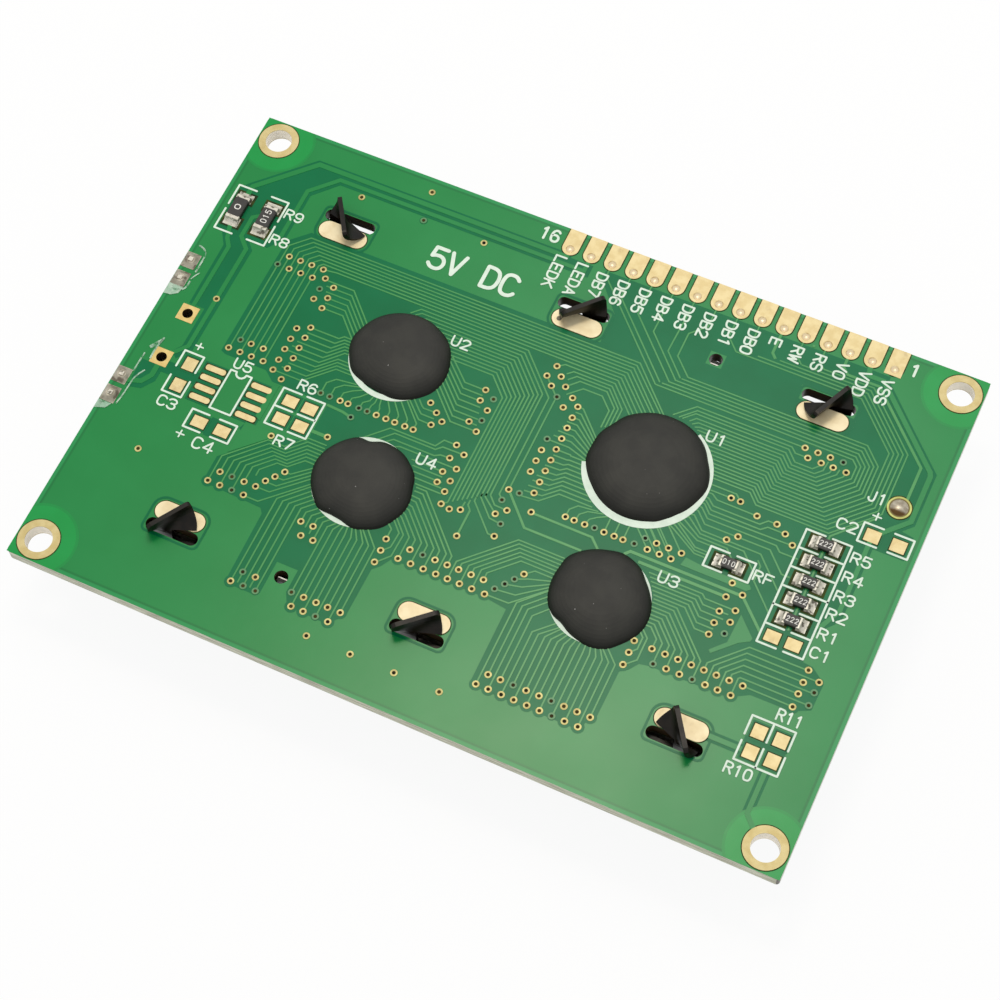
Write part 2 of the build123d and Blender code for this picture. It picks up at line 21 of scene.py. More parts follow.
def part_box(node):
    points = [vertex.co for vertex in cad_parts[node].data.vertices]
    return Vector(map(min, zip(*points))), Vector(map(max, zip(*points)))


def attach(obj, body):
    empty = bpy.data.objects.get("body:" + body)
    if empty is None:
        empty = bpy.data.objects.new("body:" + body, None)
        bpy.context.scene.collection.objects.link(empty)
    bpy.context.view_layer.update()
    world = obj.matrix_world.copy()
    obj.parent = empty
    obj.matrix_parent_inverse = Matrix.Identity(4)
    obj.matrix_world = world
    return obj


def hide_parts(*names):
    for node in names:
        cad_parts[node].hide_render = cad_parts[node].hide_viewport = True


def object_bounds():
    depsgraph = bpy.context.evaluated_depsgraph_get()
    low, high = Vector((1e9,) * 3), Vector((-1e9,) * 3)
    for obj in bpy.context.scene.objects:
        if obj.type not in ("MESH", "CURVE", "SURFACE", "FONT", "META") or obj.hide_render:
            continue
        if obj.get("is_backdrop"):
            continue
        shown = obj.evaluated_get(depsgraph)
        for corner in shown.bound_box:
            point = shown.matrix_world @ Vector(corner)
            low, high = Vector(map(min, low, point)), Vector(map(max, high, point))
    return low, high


Point = tuple[float, float]
Path2D = Sequence[Point]
Tint = tuple[float, float, float]
Plan = tuple[float, float, float, float]

MM = 0.001
BOARD_TOP = 10.9
BOARD_THICKNESS = 1.6
HALF_LENGTH = 43.5
HALF_WIDTH = 30.0
JUMPER_CENTRE: Point = (39.82, 12.25)

log = logging.getLogger("display_module")
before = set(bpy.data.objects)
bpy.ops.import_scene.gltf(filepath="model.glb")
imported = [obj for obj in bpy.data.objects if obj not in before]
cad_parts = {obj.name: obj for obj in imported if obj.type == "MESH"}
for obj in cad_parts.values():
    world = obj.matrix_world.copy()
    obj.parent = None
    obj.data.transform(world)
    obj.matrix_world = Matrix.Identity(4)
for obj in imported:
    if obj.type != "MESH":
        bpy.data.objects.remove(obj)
BOUNDS_AT_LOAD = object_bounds()


class Level(Enum):
    """Underside height and thickness of each printed or etched layer, in mm above the board."""

    HALO = (0.002, 0.003)
    BARE = (0.002, 0.006)
    TRACE = (0.004, 0.034)
    ISLAND = (0.008, 0.034)
    OPENING_AND_SHADE = (0.012, 0.018)
    RING = (0.01, 0.048)
    HOLE = (0.012, 0.05)
    PRINT = (0.012, 0.05)
    CRUST = (0.02, 0.07)

    @property
    def base(self) -> float:
        """Height of the layer's underside in mm."""
        return BOARD_TOP + self.value[0]

    @property
    def thickness(self) -> float:
        """Thickness of the layer in mm."""
        return self.value[1]


def tint(red: float, green: float, blue: float) -> Tint:
    """Turns a screen colour, 0 to 255, into the linear values that shaders use."""

    def linear(value: float) -> float:
        """One channel."""
        share = value / 255
        return share / 12.92 if share <= 0.04045 else ((share + 0.055) / 1.055) ** 2.4

    return (linear(red), linear(green), linear(blue))


class Signal:
    """An output socket of a shader tree, with arithmetic that adds Math nodes."""

    def __init__(self, owner: "NodeTree", socket: bpy.types.NodeSocket) -> None:
        """Keeps the tree and the socket."""
        self.owner = owner
        self.socket = socket

    def _math(self, operation: str, first: Any, second: Any) -> "Signal":
        """Adds one Math node for two values."""
        node = self.owner.node("ShaderNodeMath", {"operation": operation}, {0: first, 1: second})
        return Signal(self.owner, node.outputs[0])

    def __add__(self, other: Any) -> "Signal":
        """self + other."""
        return self._math("ADD", self, other)

    def __sub__(self, other: Any) -> "Signal":
        """self - other."""
        return self._math("SUBTRACT", self, other)

    def __mul__(self, other: Any) -> "Signal":
        """self * other."""
        return self._math("MULTIPLY", self, other)

    def above(self, limit: float) -> "Signal":
        """1 where the value is over the limit, else 0."""
        return self._math("GREATER_THAN", self, limit)

    def below(self, limit: float) -> "Signal":
        """1 where the value is under the limit, else 0."""
        return self._math("LESS_THAN", self, limit)

    def root(self) -> "Signal":
        """The square root."""
        return self._math("SQRT", self, 0.0)

    def size(self) -> "Signal":
        """The value without its sign."""
        return self._math("ABSOLUTE", self, 0.0)

    def higher(self, other: Any) -> "Signal":
        """The larger of the two values."""
        return self._math("MAXIMUM", self, other)

    def ramp(self, low: float, high: float) -> "Signal":
        """0 at the low value, 1 at the high value, smooth between them."""
        sockets = {"Value": self, "From Min": low, "From Max": high}
        node = self.owner.node("ShaderNodeMapRange", {"interpolation_type": "SMOOTHSTEP"}, sockets)
        return Signal(self.owner, node.outputs["Result"])


class NodeTree:
    """The shader tree of a material or of the world."""

    def __init__(self, tree: bpy.types.NodeTree) -> None:
        """Keeps the tree."""
        self.tree = tree

    def node(
        self, kind: str, settings: dict[str, Any] | None = None, sockets: dict[Any, Any] | None = None
    ) -> bpy.types.Node:
        """Adds one node.

        Args:
            kind: Blender's type name of the node.
            settings: properties to set on it.
            sockets: values, signals or sockets for its inputs, by name or number.

        Returns:
            The node.
        """
        node = self.tree.nodes.new(kind)
        for key, value in (settings or {}).items():
            setattr(node, key, value)
        for key, value in (sockets or {}).items():
            self.feed(node.inputs[key], value)
        return node

    def feed(self, target: bpy.types.NodeSocket, value: Any) -> None:
        """Links a signal into an input, or sets a plain value on it."""
        source = value.socket if isinstance(value, Signal) else value
        if isinstance(source, bpy.types.NodeSocket):
            self.tree.links.new(source, target)
        elif isinstance(source, tuple) and target.type == "RGBA":
            target.default_value = (*source, 1.0)
        else:
            target.default_value = source

    def seen(self) -> Signal:
        """1 for rays that the camera sees straight, mirrored or through glass, else 0."""
        rays = self.node("ShaderNodeLightPath")
        camera, glossy, passed = (
            Signal(self, rays.outputs[f"Is {kind} Ray"]) for kind in ("Camera", "Glossy", "Transmission")
        )
        return camera.higher(glossy).higher(passed)


class Paint(NodeTree):
    """One node material, written with object coordinates in millimetres."""

    def __init__(self, name: str) -> None:
        """Starts a material with its Principled shader."""
        self.material = bpy.data.materials.new(name)
        self.material.use_nodes = True
        super().__init__(self.material.node_tree)
        self.shader = self.tree.nodes["Principled BSDF"]
        coordinates = self.node("ShaderNodeTexCoord")
        sockets = {0: coordinates.outputs["Object"], "Scale": 1 / MM}
        scaled = self.node("ShaderNodeVectorMath", {"operation": "SCALE"}, sockets)
        self.place = Signal(self, scaled.outputs[0])
        split = self.node("ShaderNodeSeparateXYZ", sockets={0: self.place})
        self.x, self.y, self.z = (Signal(self, output) for output in split.outputs)

    def noise(self, patch: float, detail: float = 2.0, stretch: Tint = (1.0, 1.0, 1.0)) -> Signal:
        """Adds noise, 0 to 1.

        Args:
            patch: size of one patch in mm.
            detail: how much finer noise lies on it.
            stretch: how many times finer the patches are along each axis.

        Returns:
            The noise value.
        """
        sockets = {0: self.place, 1: stretch}
        stretched = self.node("ShaderNodeVectorMath", {"operation": "MULTIPLY"}, sockets)
        sockets = {"Vector": stretched.outputs[0], "Scale": 1 / patch, "Detail": detail}
        return Signal(self, self.node("ShaderNodeTexNoise", sockets=sockets).outputs[0])

    def mix(self, share: Any, first: Any, second: Any) -> Signal:
        """Mixes two colours by a share of the second."""
        sockets = {0: share, 6: first, 7: second}
        node = self.node("ShaderNodeMix", {"data_type": "RGBA"}, sockets)
        return Signal(self, node.outputs[2])

    def inside_board(self, skin: float) -> Signal:
        """1 between the board's faces, where both are more than a skin in mm away, else 0."""
        return self.z.below(BOARD_TOP - skin) * self.z.above(BOARD_TOP - BOARD_THICKNESS + skin)

    def relief(self, height: Signal, depth: float) -> None:
        """Bumps the surface by a height of 0 to 1 that stands for a depth in mm."""
        sockets = {"Height": height, "Distance": depth * MM, "Strength": 1.0}
        node = self.node("ShaderNodeBump", sockets=sockets)
        self.feed(self.shader.inputs["Normal"], node.outputs[0])

    def set(self, **values: Any) -> None:
        """Feeds inputs of the shader, with underscores for spaces in their names."""
        for key, value in values.items():
            self.feed(self.shader.inputs[key.replace("_", " ")], value)


@dataclass(frozen=True)
class Finish:
    """A mottled surface: two tones, a roughness that wanders and a fine relief.

    The sizes of a patch and of the grain and the depth of the relief are in mm. The stretch
    makes the patches that many times finer along each axis.
    """

    name: str
    tone: Tint
    second: Tint
    roughness: float = 0.5
    wander: float = 0.1
    patch: float = 1.0
    metallic: float = 0.0
    depth: float = 0.003
    grain: float = 0.3
    stretch: Tint = (1.0, 1.0, 1.0)
    coat: float = 0.0
    constants: dict[str, float] = field(default_factory=dict)

    def colour(self, paint: Paint) -> Signal:
        """The base colour."""
        patches = paint.noise(self.patch, 3.0, self.stretch).ramp(0.35, 0.65)
        return paint.mix(patches, self.tone, self.second)

    def gloss(self, paint: Paint) -> Signal:
        """The roughness."""
        uneven = paint.noise(self.patch * 0.7, 4.0, self.stretch)
        return uneven * self.wander + (self.roughness - self.wander / 2)

    def material(self) -> bpy.types.Material:
        """Builds the node material."""
        paint = Paint(self.name)
        paint.set(Base_Color=self.colour(paint), Roughness=self.gloss(paint), Metallic=self.metallic)
        paint.set(Coat_Weight=self.coat, **self.constants)
        if self.depth:
            paint.relief(paint.noise(self.grain, 3.0, self.stretch), self.depth)
        self.extra(paint)
        return paint.material

    def extra(self, paint: Paint) -> None:
        """Room for what one finish has more than the others."""


@dataclass(frozen=True)
class BoardFinish(Finish):
    """Solder mask over copper; pale laminate on the outer cut edge, painted shade on inner walls.

    Along the outline runs a dark line, which fades in and then ends, and outside it a bright
    rim of painted light: the floor's light shining up through the bare laminate at the edge.
    Their limits are in mm past the outline.
    """

    laminate: Tint = tint(206, 208, 184)
    fibres: Tint = tint(150, 148, 122)
    # painted shade: the same laminate, dark brown on the walls of the slots and holes
    inside: Tint = tint(66, 52, 34)
    # painted light: the green of the rim lit from below along the edge
    bright: Tint = tint(36, 150, 84)
    dark: Tint = tint(4, 108, 52)
    dark_line: Tint = (-0.75, -0.55, -0.42)
    edge_light_rim: Point = (-0.45, -0.3)

    def colour(self, paint: Paint) -> Signal:
        """Mask on both faces, pale laminate round the outline, painted shade in slots and holes."""
        mask = super().colour(paint)
        past = (paint.x.size() - HALF_LENGTH).higher(paint.y.size() - HALF_WIDTH)
        low, high, end = self.dark_line
        mask = paint.mix(past.ramp(low, high) * past.below(end) * 0.7, mask, self.dark)
        # painted light along the edge, where the floor shines up through the laminate
        mask = paint.mix(past.ramp(*self.edge_light_rim) * 0.6, mask, self.bright)
        fibre = paint.noise(1.2, 3.0, (0.4, 0.4, 5.0)).ramp(0.35, 0.65)
        # walls inside the outline get painted shade, the outer edge the laminate's own colour
        wall = paint.mix(past.above(-0.01), self.inside, paint.mix(fibre, self.laminate, self.fibres))
        return paint.mix(paint.inside_board(0.02), mask, wall)


@dataclass(frozen=True)
class StainedGold(Finish):
    """Gold plating with dull patches of old flux, and painted light and shade on a plated hole's wall."""

    stain: Tint = tint(150, 124, 84)
    # the wall inside a plated hole: one flat tone of painted light and shade, pale by default
    hole_wall_light_and_shade: Tint = tint(226, 208, 172)

    def colour(self, paint: Paint) -> Signal:
        """Gold with a few dull patches, and a flat tone of painted light and shade inside a plated hole."""
        patches = paint.noise(1.6, 5.0).ramp(0.6, 0.78)
        face = paint.mix(patches * 0.5, super().colour(paint), self.stain)
        return paint.mix(paint.inside_board(0.05), face, self.hole_wall_light_and_shade)


@dataclass(frozen=True)
class BrightSolder(Finish):
    """Solder with dark streaks of flux between its bright folds."""

    streak: Tint = tint(66, 60, 44)
    streak_size: float = 0.6
    share: float = 0.85

    def colour(self, paint: Paint) -> Signal:
        """Bright metal with a few dark streaks."""
        streaks = paint.noise(self.streak_size, 2.0).ramp(0.54, 0.64) * self.share
        return paint.mix(streaks, super().colour(paint), self.streak)


@dataclass(frozen=True)
class JumperRing(Finish):
    """The jumper's ring: pale at its outer rim, dark with old flux inside."""

    dark: Tint = tint(92, 78, 22)
    pale_from: Point = (1.06, 1.14)

    def colour(self, paint: Paint) -> Signal:
        """Pale rim, dark inside."""
        across, upward = paint.x - JUMPER_CENTRE[0], paint.y - JUMPER_CENTRE[1]
        radius = (across * across + upward * upward).root()
        return paint.mix(radius.ramp(*self.pale_from), self.dark, super().colour(paint))


@dataclass(frozen=True)
class JumperSolder(Finish):
    """The jumper's solder: grey, with brown flux along its lower side."""

    flux: Tint = tint(84, 58, 14)
    fade: Point = (-0.45, 0.05)

    def colour(self, paint: Paint) -> Signal:
        """Grey with a brown lower rim."""
        uneven = paint.y + paint.noise(0.5) * 0.35
        low, high = (JUMPER_CENTRE[1] + limit for limit in self.fade)
        return paint.mix(uneven.ramp(low, high), self.flux, super().colour(paint))


@dataclass(frozen=True)
class PressedSteel(Finish):
    """Dark plated steel; the tops of the two sheared nibs are bare steel with a painted glint."""

    # bare sheared steel, painted near white to stand for a glint of light on it
    bare: Tint = tint(214, 212, 206)
    nib: Point = (15.6, 20.98)
    half_nib: float = 0.7
    sheared: Point = (-0.8, -0.12)
    nib_foot: float = 9.9

    def colour(self, paint: Paint) -> Signal:
        """Dark steel with two bright spots: paler bare steel with a painted glint."""
        side = paint.x.above(0.0) * 2.0 - 1.0
        in_width = (paint.x * side - self.nib[0]).size().below(self.half_nib)
        upward = paint.y * side - self.nib[1]
        sheared = upward.below(self.sheared[1]) * upward.above(self.sheared[0])
        # the nib tops: paler bare steel and a painted glint
        bright = in_width * sheared * paint.z.above(self.nib_foot)
        return paint.mix(bright, super().colour(paint), self.bare)


@dataclass(frozen=True)
class SpeckledResin(Finish):
    """Poured black resin with painted shade towards its foot, and a few pale specks of dust."""

    speck: Tint = tint(150, 150, 148)
    # painted shade: the drop's steep foot darker than its lit top
    foot: Tint = tint(15, 14, 10)
    foot_shade_height: float = 1.25

    def colour(self, paint: Paint) -> Signal:
        """Charcoal with specks, over painted shade at the foot."""
        specks = paint.noise(0.3, 0.0).ramp(0.87, 0.9)
        risen = paint.z.ramp(BOARD_TOP, BOARD_TOP + self.foot_shade_height)
        # painted shade: darker from the foot up to the foot shade height
        poured = paint.mix(risen, self.foot, super().colour(paint))
        return paint.mix(specks, poured, self.speck)


@dataclass(frozen=True)
class Crust(Finish):
    """A dried film that thins out to nothing in places."""

    cover: float = 0.75

    def extra(self, paint: Paint) -> None:
        """Alpha from two sizes of noise."""
        patches = paint.noise(0.8, 4.0).ramp(0.32, 0.54)
        paint.set(Alpha=patches * self.cover)


def shine(level: float) -> dict[str, float]:
    """The strength of a finish's plain reflection, under the shader's name for it."""
    return {"Specular IOR Level": level}


STEEL = PressedSteel(
    "dark_steel", tint(26, 21, 16), tint(14, 12, 9), roughness=0.38, wander=0.16, metallic=0.2, grain=0.4,
    constants=shine(0.22),
)
GOLD = StainedGold("gold_plating", tint(214, 197, 148), tint(204, 184, 132), metallic=0.3)
DIMPLE = StainedGold(
    "hole_dimple", tint(200, 172, 118), tint(232, 214, 170), roughness=0.34, wander=0.16, patch=0.35,
    metallic=0.4, depth=0.02, grain=0.25,
)
PALE_GOLD = StainedGold("pale_gold", tint(234, 220, 182), tint(222, 204, 162), patch=1.6, metallic=0.2)
RING_GOLD = StainedGold(
    "ring_gold", tint(204, 188, 134), tint(192, 173, 114), patch=1.2, metallic=0.2,
    # painted light: the corner holes' walls near white, lit by the white floor seen through them
    hole_wall_light_and_shade=tint(250, 244, 232),
)
LEAD_GOLD = StainedGold(
    # painted shade: the lead holes' walls dark brown
    "lead_hole_gold", tint(212, 188, 122), tint(200, 172, 104), metallic=0.3, hole_wall_light_and_shade=tint(58, 42, 22),
)
OLIVE_GOLD = JumperRing(
    "olive_gold", tint(178, 182, 104), tint(160, 160, 84), roughness=0.45, patch=0.8, metallic=0.3,
)
SOLDER = BrightSolder(
    "solder", tint(206, 202, 190), tint(186, 182, 168), roughness=0.42, patch=0.4, metallic=0.3,
    depth=0.03, grain=0.6,
)
EDGE_SOLDER = BrightSolder(
    "edge_solder", tint(170, 164, 148), tint(140, 134, 118), roughness=0.34, wander=0.12, patch=1.1,
    metallic=0.4, depth=0.06, grain=0.7, streak=tint(92, 80, 66), streak_size=0.9,
)
DULL_SOLDER = JumperSolder(
    "dull_solder", tint(186, 178, 160), tint(150, 140, 122), roughness=0.34, patch=0.5, metallic=0.5,
    depth=0.012, grain=0.5,
)
# partly the real gap in the mask, partly painted shade round the pads and resistors
OPENING_AND_SHADE = Finish(
    "mask_gap_and_shade", tint(66, 74, 34), tint(36, 54, 32), roughness=0.6, wander=0.08, patch=0.8, depth=0.0,
    constants=shine(0.05),
)
LOW_SHINE = shine(0.27)
MASK = BoardFinish(
    "mask_over_copper", tint(14, 128, 60), tint(20, 132, 64), roughness=0.29, wander=0.05, patch=9.0,
    grain=0.8, constants=LOW_SHINE,
)
BARE = Finish(
    "mask_over_laminate", tint(0, 106, 62), tint(2, 110, 66), roughness=0.29, wander=0.05, patch=5.0,
    grain=0.5, constants=shine(0.15),
)
TRACE = Finish(
    "mask_over_trace", tint(70, 150, 80), tint(60, 144, 76), roughness=0.29, wander=0.05, patch=5.0,
    depth=0.002, grain=0.5, constants=LOW_SHINE,
)
# painted light: copper-free laminate round the corner holes, lit from below by the floor
HALO = Finish(
    "mask_lit_from_below", tint(6, 146, 64), tint(10, 150, 68), roughness=0.29, wander=0.05, patch=3.0,
    depth=0.002, grain=0.5, constants=LOW_SHINE,
)
# painted light: the outer rim of that lit laminate, a little darker
HALO_RIM = Finish(
    "lit_halo_rim", tint(10, 137, 62), tint(14, 141, 65), roughness=0.29, wander=0.05, patch=3.0, depth=0.002,
    grain=0.5, constants=LOW_SHINE,
)
VIA_GOLD = Finish(
    "via_gold", tint(190, 181, 118), tint(162, 150, 90), roughness=0.45, patch=0.6, metallic=0.3,
    depth=0.0,
)
TENTED = Finish(
    "tented_via", tint(74, 132, 78), tint(62, 126, 74), roughness=0.4, patch=0.6, depth=0.0,
)
# painted shade: the dark disc laid over each via hole
HOLE = Finish(
    "painted_hole_shade", tint(14, 16, 10), tint(70, 60, 26), roughness=0.7, patch=4.0, depth=0.0,
    constants=shine(0.1),
)
PRINT = Finish(
    "white_print", tint(224, 240, 226), tint(214, 232, 217), roughness=0.6, patch=0.8, depth=0.004,
    grain=0.12,
)
RESIN = SpeckledResin(
    "black_resin", tint(39, 39, 36), tint(46, 46, 42), roughness=0.55, wander=0.08, patch=2.5,
    depth=0.008, grain=0.5, constants=shine(0.25),
)
GLAZE = Finish("resistor_glaze", tint(20, 18, 16), tint(28, 26, 23), patch=0.5, grain=0.2)
MARK = Finish(
    "resistor_mark", tint(232, 232, 226), tint(214, 214, 208), roughness=0.6, wander=0.05, patch=0.4,
    depth=0.0,
)
LENS = Finish("lamp_lens", tint(222, 226, 214), tint(206, 212, 200), roughness=0.25, grain=0.4)
WHITE_PLASTIC = Finish("white_plastic", tint(228, 228, 222), tint(218, 218, 212), patch=4.0, depth=0.006)
FILM = Finish("white_film", tint(232, 233, 230), tint(224, 225, 222), roughness=0.45, patch=5.0)
ACRYLIC = Finish(
    "clear_acrylic", tint(224, 230, 226), tint(214, 222, 218), roughness=0.12, wander=0.04, patch=4.0,
    depth=0.002, grain=0.6, constants={"Transmission Weight": 0.7, "IOR": 1.49},
)
GLASS = Finish(
    "cell_glass", tint(196, 208, 196), tint(188, 200, 190), roughness=0.06, wander=0.03, patch=8.0,
    depth=0.001, grain=1.0, constants={"Transmission Weight": 0.6, "IOR": 1.52},
)
POLARIZER = Finish(
    "polarizer_film", tint(126, 138, 96), tint(118, 131, 92), roughness=0.22, wander=0.06, patch=9.0,
    depth=0.002, grain=0.4, coat=0.4,
)
SEAL = Finish("cell_seal", tint(70, 74, 62), tint(60, 64, 54), depth=0.002, grain=0.2)
RUBBER = Finish(
    "contact_rubber", tint(206, 196, 180), tint(190, 182, 168), roughness=0.65, patch=1.5, depth=0.006,
    grain=0.2, stretch=(0.3, 4.0, 1.0),
)
SEGMENT = Finish(
    "display_cells", tint(108, 120, 84), tint(102, 114, 80), roughness=0.25, wander=0.05, patch=3.0,
    depth=0.001, grain=0.4, coat=0.4,
)
FLUX = Crust(
    "flux_residue", tint(198, 224, 204), tint(160, 202, 174), roughness=0.4, wander=0.15, patch=0.6,
    depth=0.03, cover=0.72,
)
# painted shadow: brown patches that the bezel tabs cast on the gold ground pads
TAB_SHADOW = Crust(
    "painted_tab_shadow", tint(96, 92, 80), tint(128, 118, 98), wander=0.15, patch=0.4, depth=0.01, grain=0.2,
    cover=0.55,
)

NODE_FINISHES: dict[str, Finish] = {
    "circuit_board": MASK, "mounting_hole_plating": RING_GOLD, "connector_pads": GOLD,
    "lead_pads": LEAD_GOLD, "jumper_ring": OLIVE_GOLD, "ground_pads": PALE_GOLD, "bare_pads": GOLD,
    "contact_pads": GOLD, "edge_pads": EDGE_SOLDER, "resistor_pads": SOLDER, "connector_solder": DIMPLE,
    "jumper_solder": DULL_SOLDER, "edge_solder": EDGE_SOLDER, "resistor_solder": SOLDER,
    "bezel": STEEL, "front_polarizer": POLARIZER, "rear_polarizer": POLARIZER, "front_glass": GLASS,
    "rear_glass": GLASS, "cell_seal": SEAL, "contact_strip_upper": RUBBER, "contact_strip_lower": RUBBER,
    "diffuser": FILM, "reflector": FILM, "light_guide": ACRYLIC, "backlight_frame": WHITE_PLASTIC,
    "lamp_upper": LENS, "lamp_lower": LENS, "lamp_legs_upper": SOLDER, "lamp_legs_lower": SOLDER,
}


class FinishShelf:
    """Builds each finish once and hands the same material out again."""

    def __init__(self) -> None:
        """Starts with no material."""
        self._made: dict[str, bpy.types.Material] = {}

    def material(self, finish: Finish) -> bpy.types.Material:
        """The material of a finish."""
        if finish.name not in self._made:
            self._made[finish.name] = finish.material()
        return self._made[finish.name]

    def dress_nodes(self) -> None:
        """Puts a finish on every CAD node."""
        for name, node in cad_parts.items():
            if name.startswith("chip_cap"):
                finish = RESIN
            elif name.endswith("_body"):
                finish = GLAZE
            elif name.endswith("_terminals"):
                finish = SOLDER
            else:
                finish = NODE_FINISHES.get(name, WHITE_PLASTIC)
            node.data.materials.clear()
            node.data.materials.append(self.material(finish))
            log.info("finish on %s", name)


def made_piece(
    mesh: bmesh.types.BMesh, name: str, material: bpy.types.Material, smooth: bool = False
) -> bpy.types.Object:
    """Makes a finished mesh an object that rides on the module's body.

    Args:
        mesh: the mesh in metres, which is freed.
        name: the piece's name.
        material: its finish.
        smooth: whether its faces are shaded as one curved surface.

    Returns:
        The object.
    """
    for face in mesh.faces:
        face.smooth = smooth
    data = bpy.data.meshes.new(name)
    mesh.to_mesh(data)
    mesh.free()
    data.materials.append(material)
    piece = bpy.data.objects.new(name, data)
    bpy.context.scene.collection.objects.link(piece)
    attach(piece, "root")
    log.info("%s: %d faces", name, len(data.polygons))
    return piece


def rectangle(left: float, right: float, start: float, end: float) -> list[Point]:
    """Corners of a rectangle that lies along the board's edges."""
    return [(left, start), (right, start), (right, end), (left, end)]


class FlatWork:
    """A thin flat piece on the board, built in millimetres from ribbons and plates."""

    lift = 0.0006
    turns = 11
    mitre_limit = 0.75
    sharp_corner = 1.0
    pen_sides = 10
    inset = 0.02

    def __init__(self, level: Level | None = None, base: float = 0.0, thickness: float = 0.0) -> None:
        """Starts an empty piece on a layer, or at a height and thickness of its own."""
        self.base = level.base if level else base
        self.thickness = level.thickness if level else thickness
        self.mesh = bmesh.new()
        self.count = 0
        self.band = 0

    def next_band(self) -> None:
        """Lays the parts that follow over all the parts so far."""
        self.band += 1

    def _height(self) -> float:
        """Height of the next part, so that no two neighbours lie in one plane."""
        self.count += 1
        return self.base + self.lift * (self.band * self.turns + self.count % self.turns)

    def plate(self, outline: Path2D) -> None:
        """Adds a plate with the given outline."""
        height = self._height()
        first = bmesh.ops.create_vert(self.mesh, co=(*outline[0], height))["vert"][0]
        edges = []
        last = first
        for x, y in outline[1:]:
            made = bmesh.ops.extrude_vert_indiv(self.mesh, verts=[last])
            last = made["verts"][0]
            last.co = (x, y, height)
            edges += made["edges"]
        edges += bmesh.ops.contextual_create(self.mesh, geom=[last, first])["edges"]
        bmesh.ops.edgeloop_fill(self.mesh, edges=edges)

    def box(self, left: float, right: float, bottom: float, top: float) -> None:
        """Adds a rectangular plate."""
        self.plate(rectangle(left, right, bottom, top))

    def disc(self, centre: Point, radius: float, sides: int = 16) -> None:
        """Adds a round plate."""
        place = Matrix.Translation((*centre, self._height()))
        bmesh.ops.create_circle(self.mesh, cap_ends=True, segments=sides, radius=radius, matrix=place)

    def ring(self, centre: Point, inner: float, outer: float, sides: int = 16) -> None:
        """Adds a flat ring."""
        place = Matrix.Translation((*centre, self._height()))
        edges: list[bmesh.types.BMEdge] = []
        for radius in (inner, outer):
            made = bmesh.ops.create_circle(self.mesh, segments=sides, radius=radius, matrix=place)
            edges += dict.fromkeys(edge for vert in made["verts"] for edge in vert.link_edges)
        bmesh.ops.bridge_loops(self.mesh, edges=edges)

    def ribbon(self, points: Path2D, width: float, closed: bool = False) -> None:
        """Adds a ribbon along a path, with its corners mitred.

        Args:
            points: the middle line.
            width: full width.
            closed: True joins the last point to the first.
        """
        height = self._height()
        line = [Vector(point) for point in points]
        if closed:
            line.append(line[0])
        sides = [self._across(line, index, closed) * width / 2 for index in range(len(line))]
        start = [
            bmesh.ops.create_vert(self.mesh, co=(*(line[0] + side), height))["vert"][0]
            for side in (sides[0], -sides[0])
        ]
        edge = bmesh.ops.contextual_create(self.mesh, geom=start)["edges"][0]
        for centre, side in zip(line[1:], sides[1:]):
            origin = edge.verts[:]
            made = bmesh.ops.extrude_edge_only(self.mesh, edges=[edge])["geom"]
            edge = next(
                item for item in made
                if isinstance(item, bmesh.types.BMEdge) and not set(item.verts) & set(origin)
            )
            for vert in edge.verts:
                source = next(other for link in vert.link_edges for other in link.verts if other in origin)
                sign = 1 if source is start[0] else -1
                vert.co = (*(centre + side * sign), height)
                if sign == 1:
                    upper = vert
            start = [upper, edge.other_vert(upper)]

    @staticmethod
    def _across(line: Sequence[Vector], index: int, closed: bool) -> Vector:
        """The mitred direction across a path at one of its points."""
        last = len(line) - 1
        before = line[index] - line[index - 1] if index else None
        after = line[index + 1] - line[index] if index < last else None
        if closed and before is None:
            before = line[0] - line[last - 1]
        if closed and after is None:
            after = line[1] - line[0]
        runs = [Vector((-run.y, run.x)).normalized() for run in (before, after) if run is not None]
        middle = sum(runs, Vector((0.0, 0.0)))
        if middle.length < 1e-6:
            return runs[0]
        middle.normalize()
        return middle / max(middle.dot(runs[0]), FlatWork.mitre_limit)

    def stroke(self, points: Path2D, width: float) -> None:
        """Adds a pen stroke: a ribbon for each run between sharp corners, with round ends."""
        line = [Vector(point) for point in points]
        run = [line[0]]
        for before, corner, after in zip(line, line[1:], line[2:] + [None]):
            run.append(corner)
            if after is None or (corner - before).angle(after - corner) > self.sharp_corner:
                self.ribbon([tuple(point) for point in run], width)
                for end in (run[0], corner):
                    self.disc(tuple(end), width / 2, self.pen_sides)
                run = [corner]

    def clip_to_board(self) -> None:
        """Cuts away what reaches past the board's outline."""
        for x, y in ((1, 0), (-1, 0), (0, 1), (0, -1)):
            everything = self.mesh.verts[:] + self.mesh.edges[:] + self.mesh.faces[:]
            reach = (HALF_LENGTH if x else HALF_WIDTH) - self.inset
            place = (x * reach, y * reach, 0)
            bmesh.ops.bisect_plane(
                self.mesh, geom=everything, plane_co=place, plane_no=(x, y, 0), clear_outer=True
            )

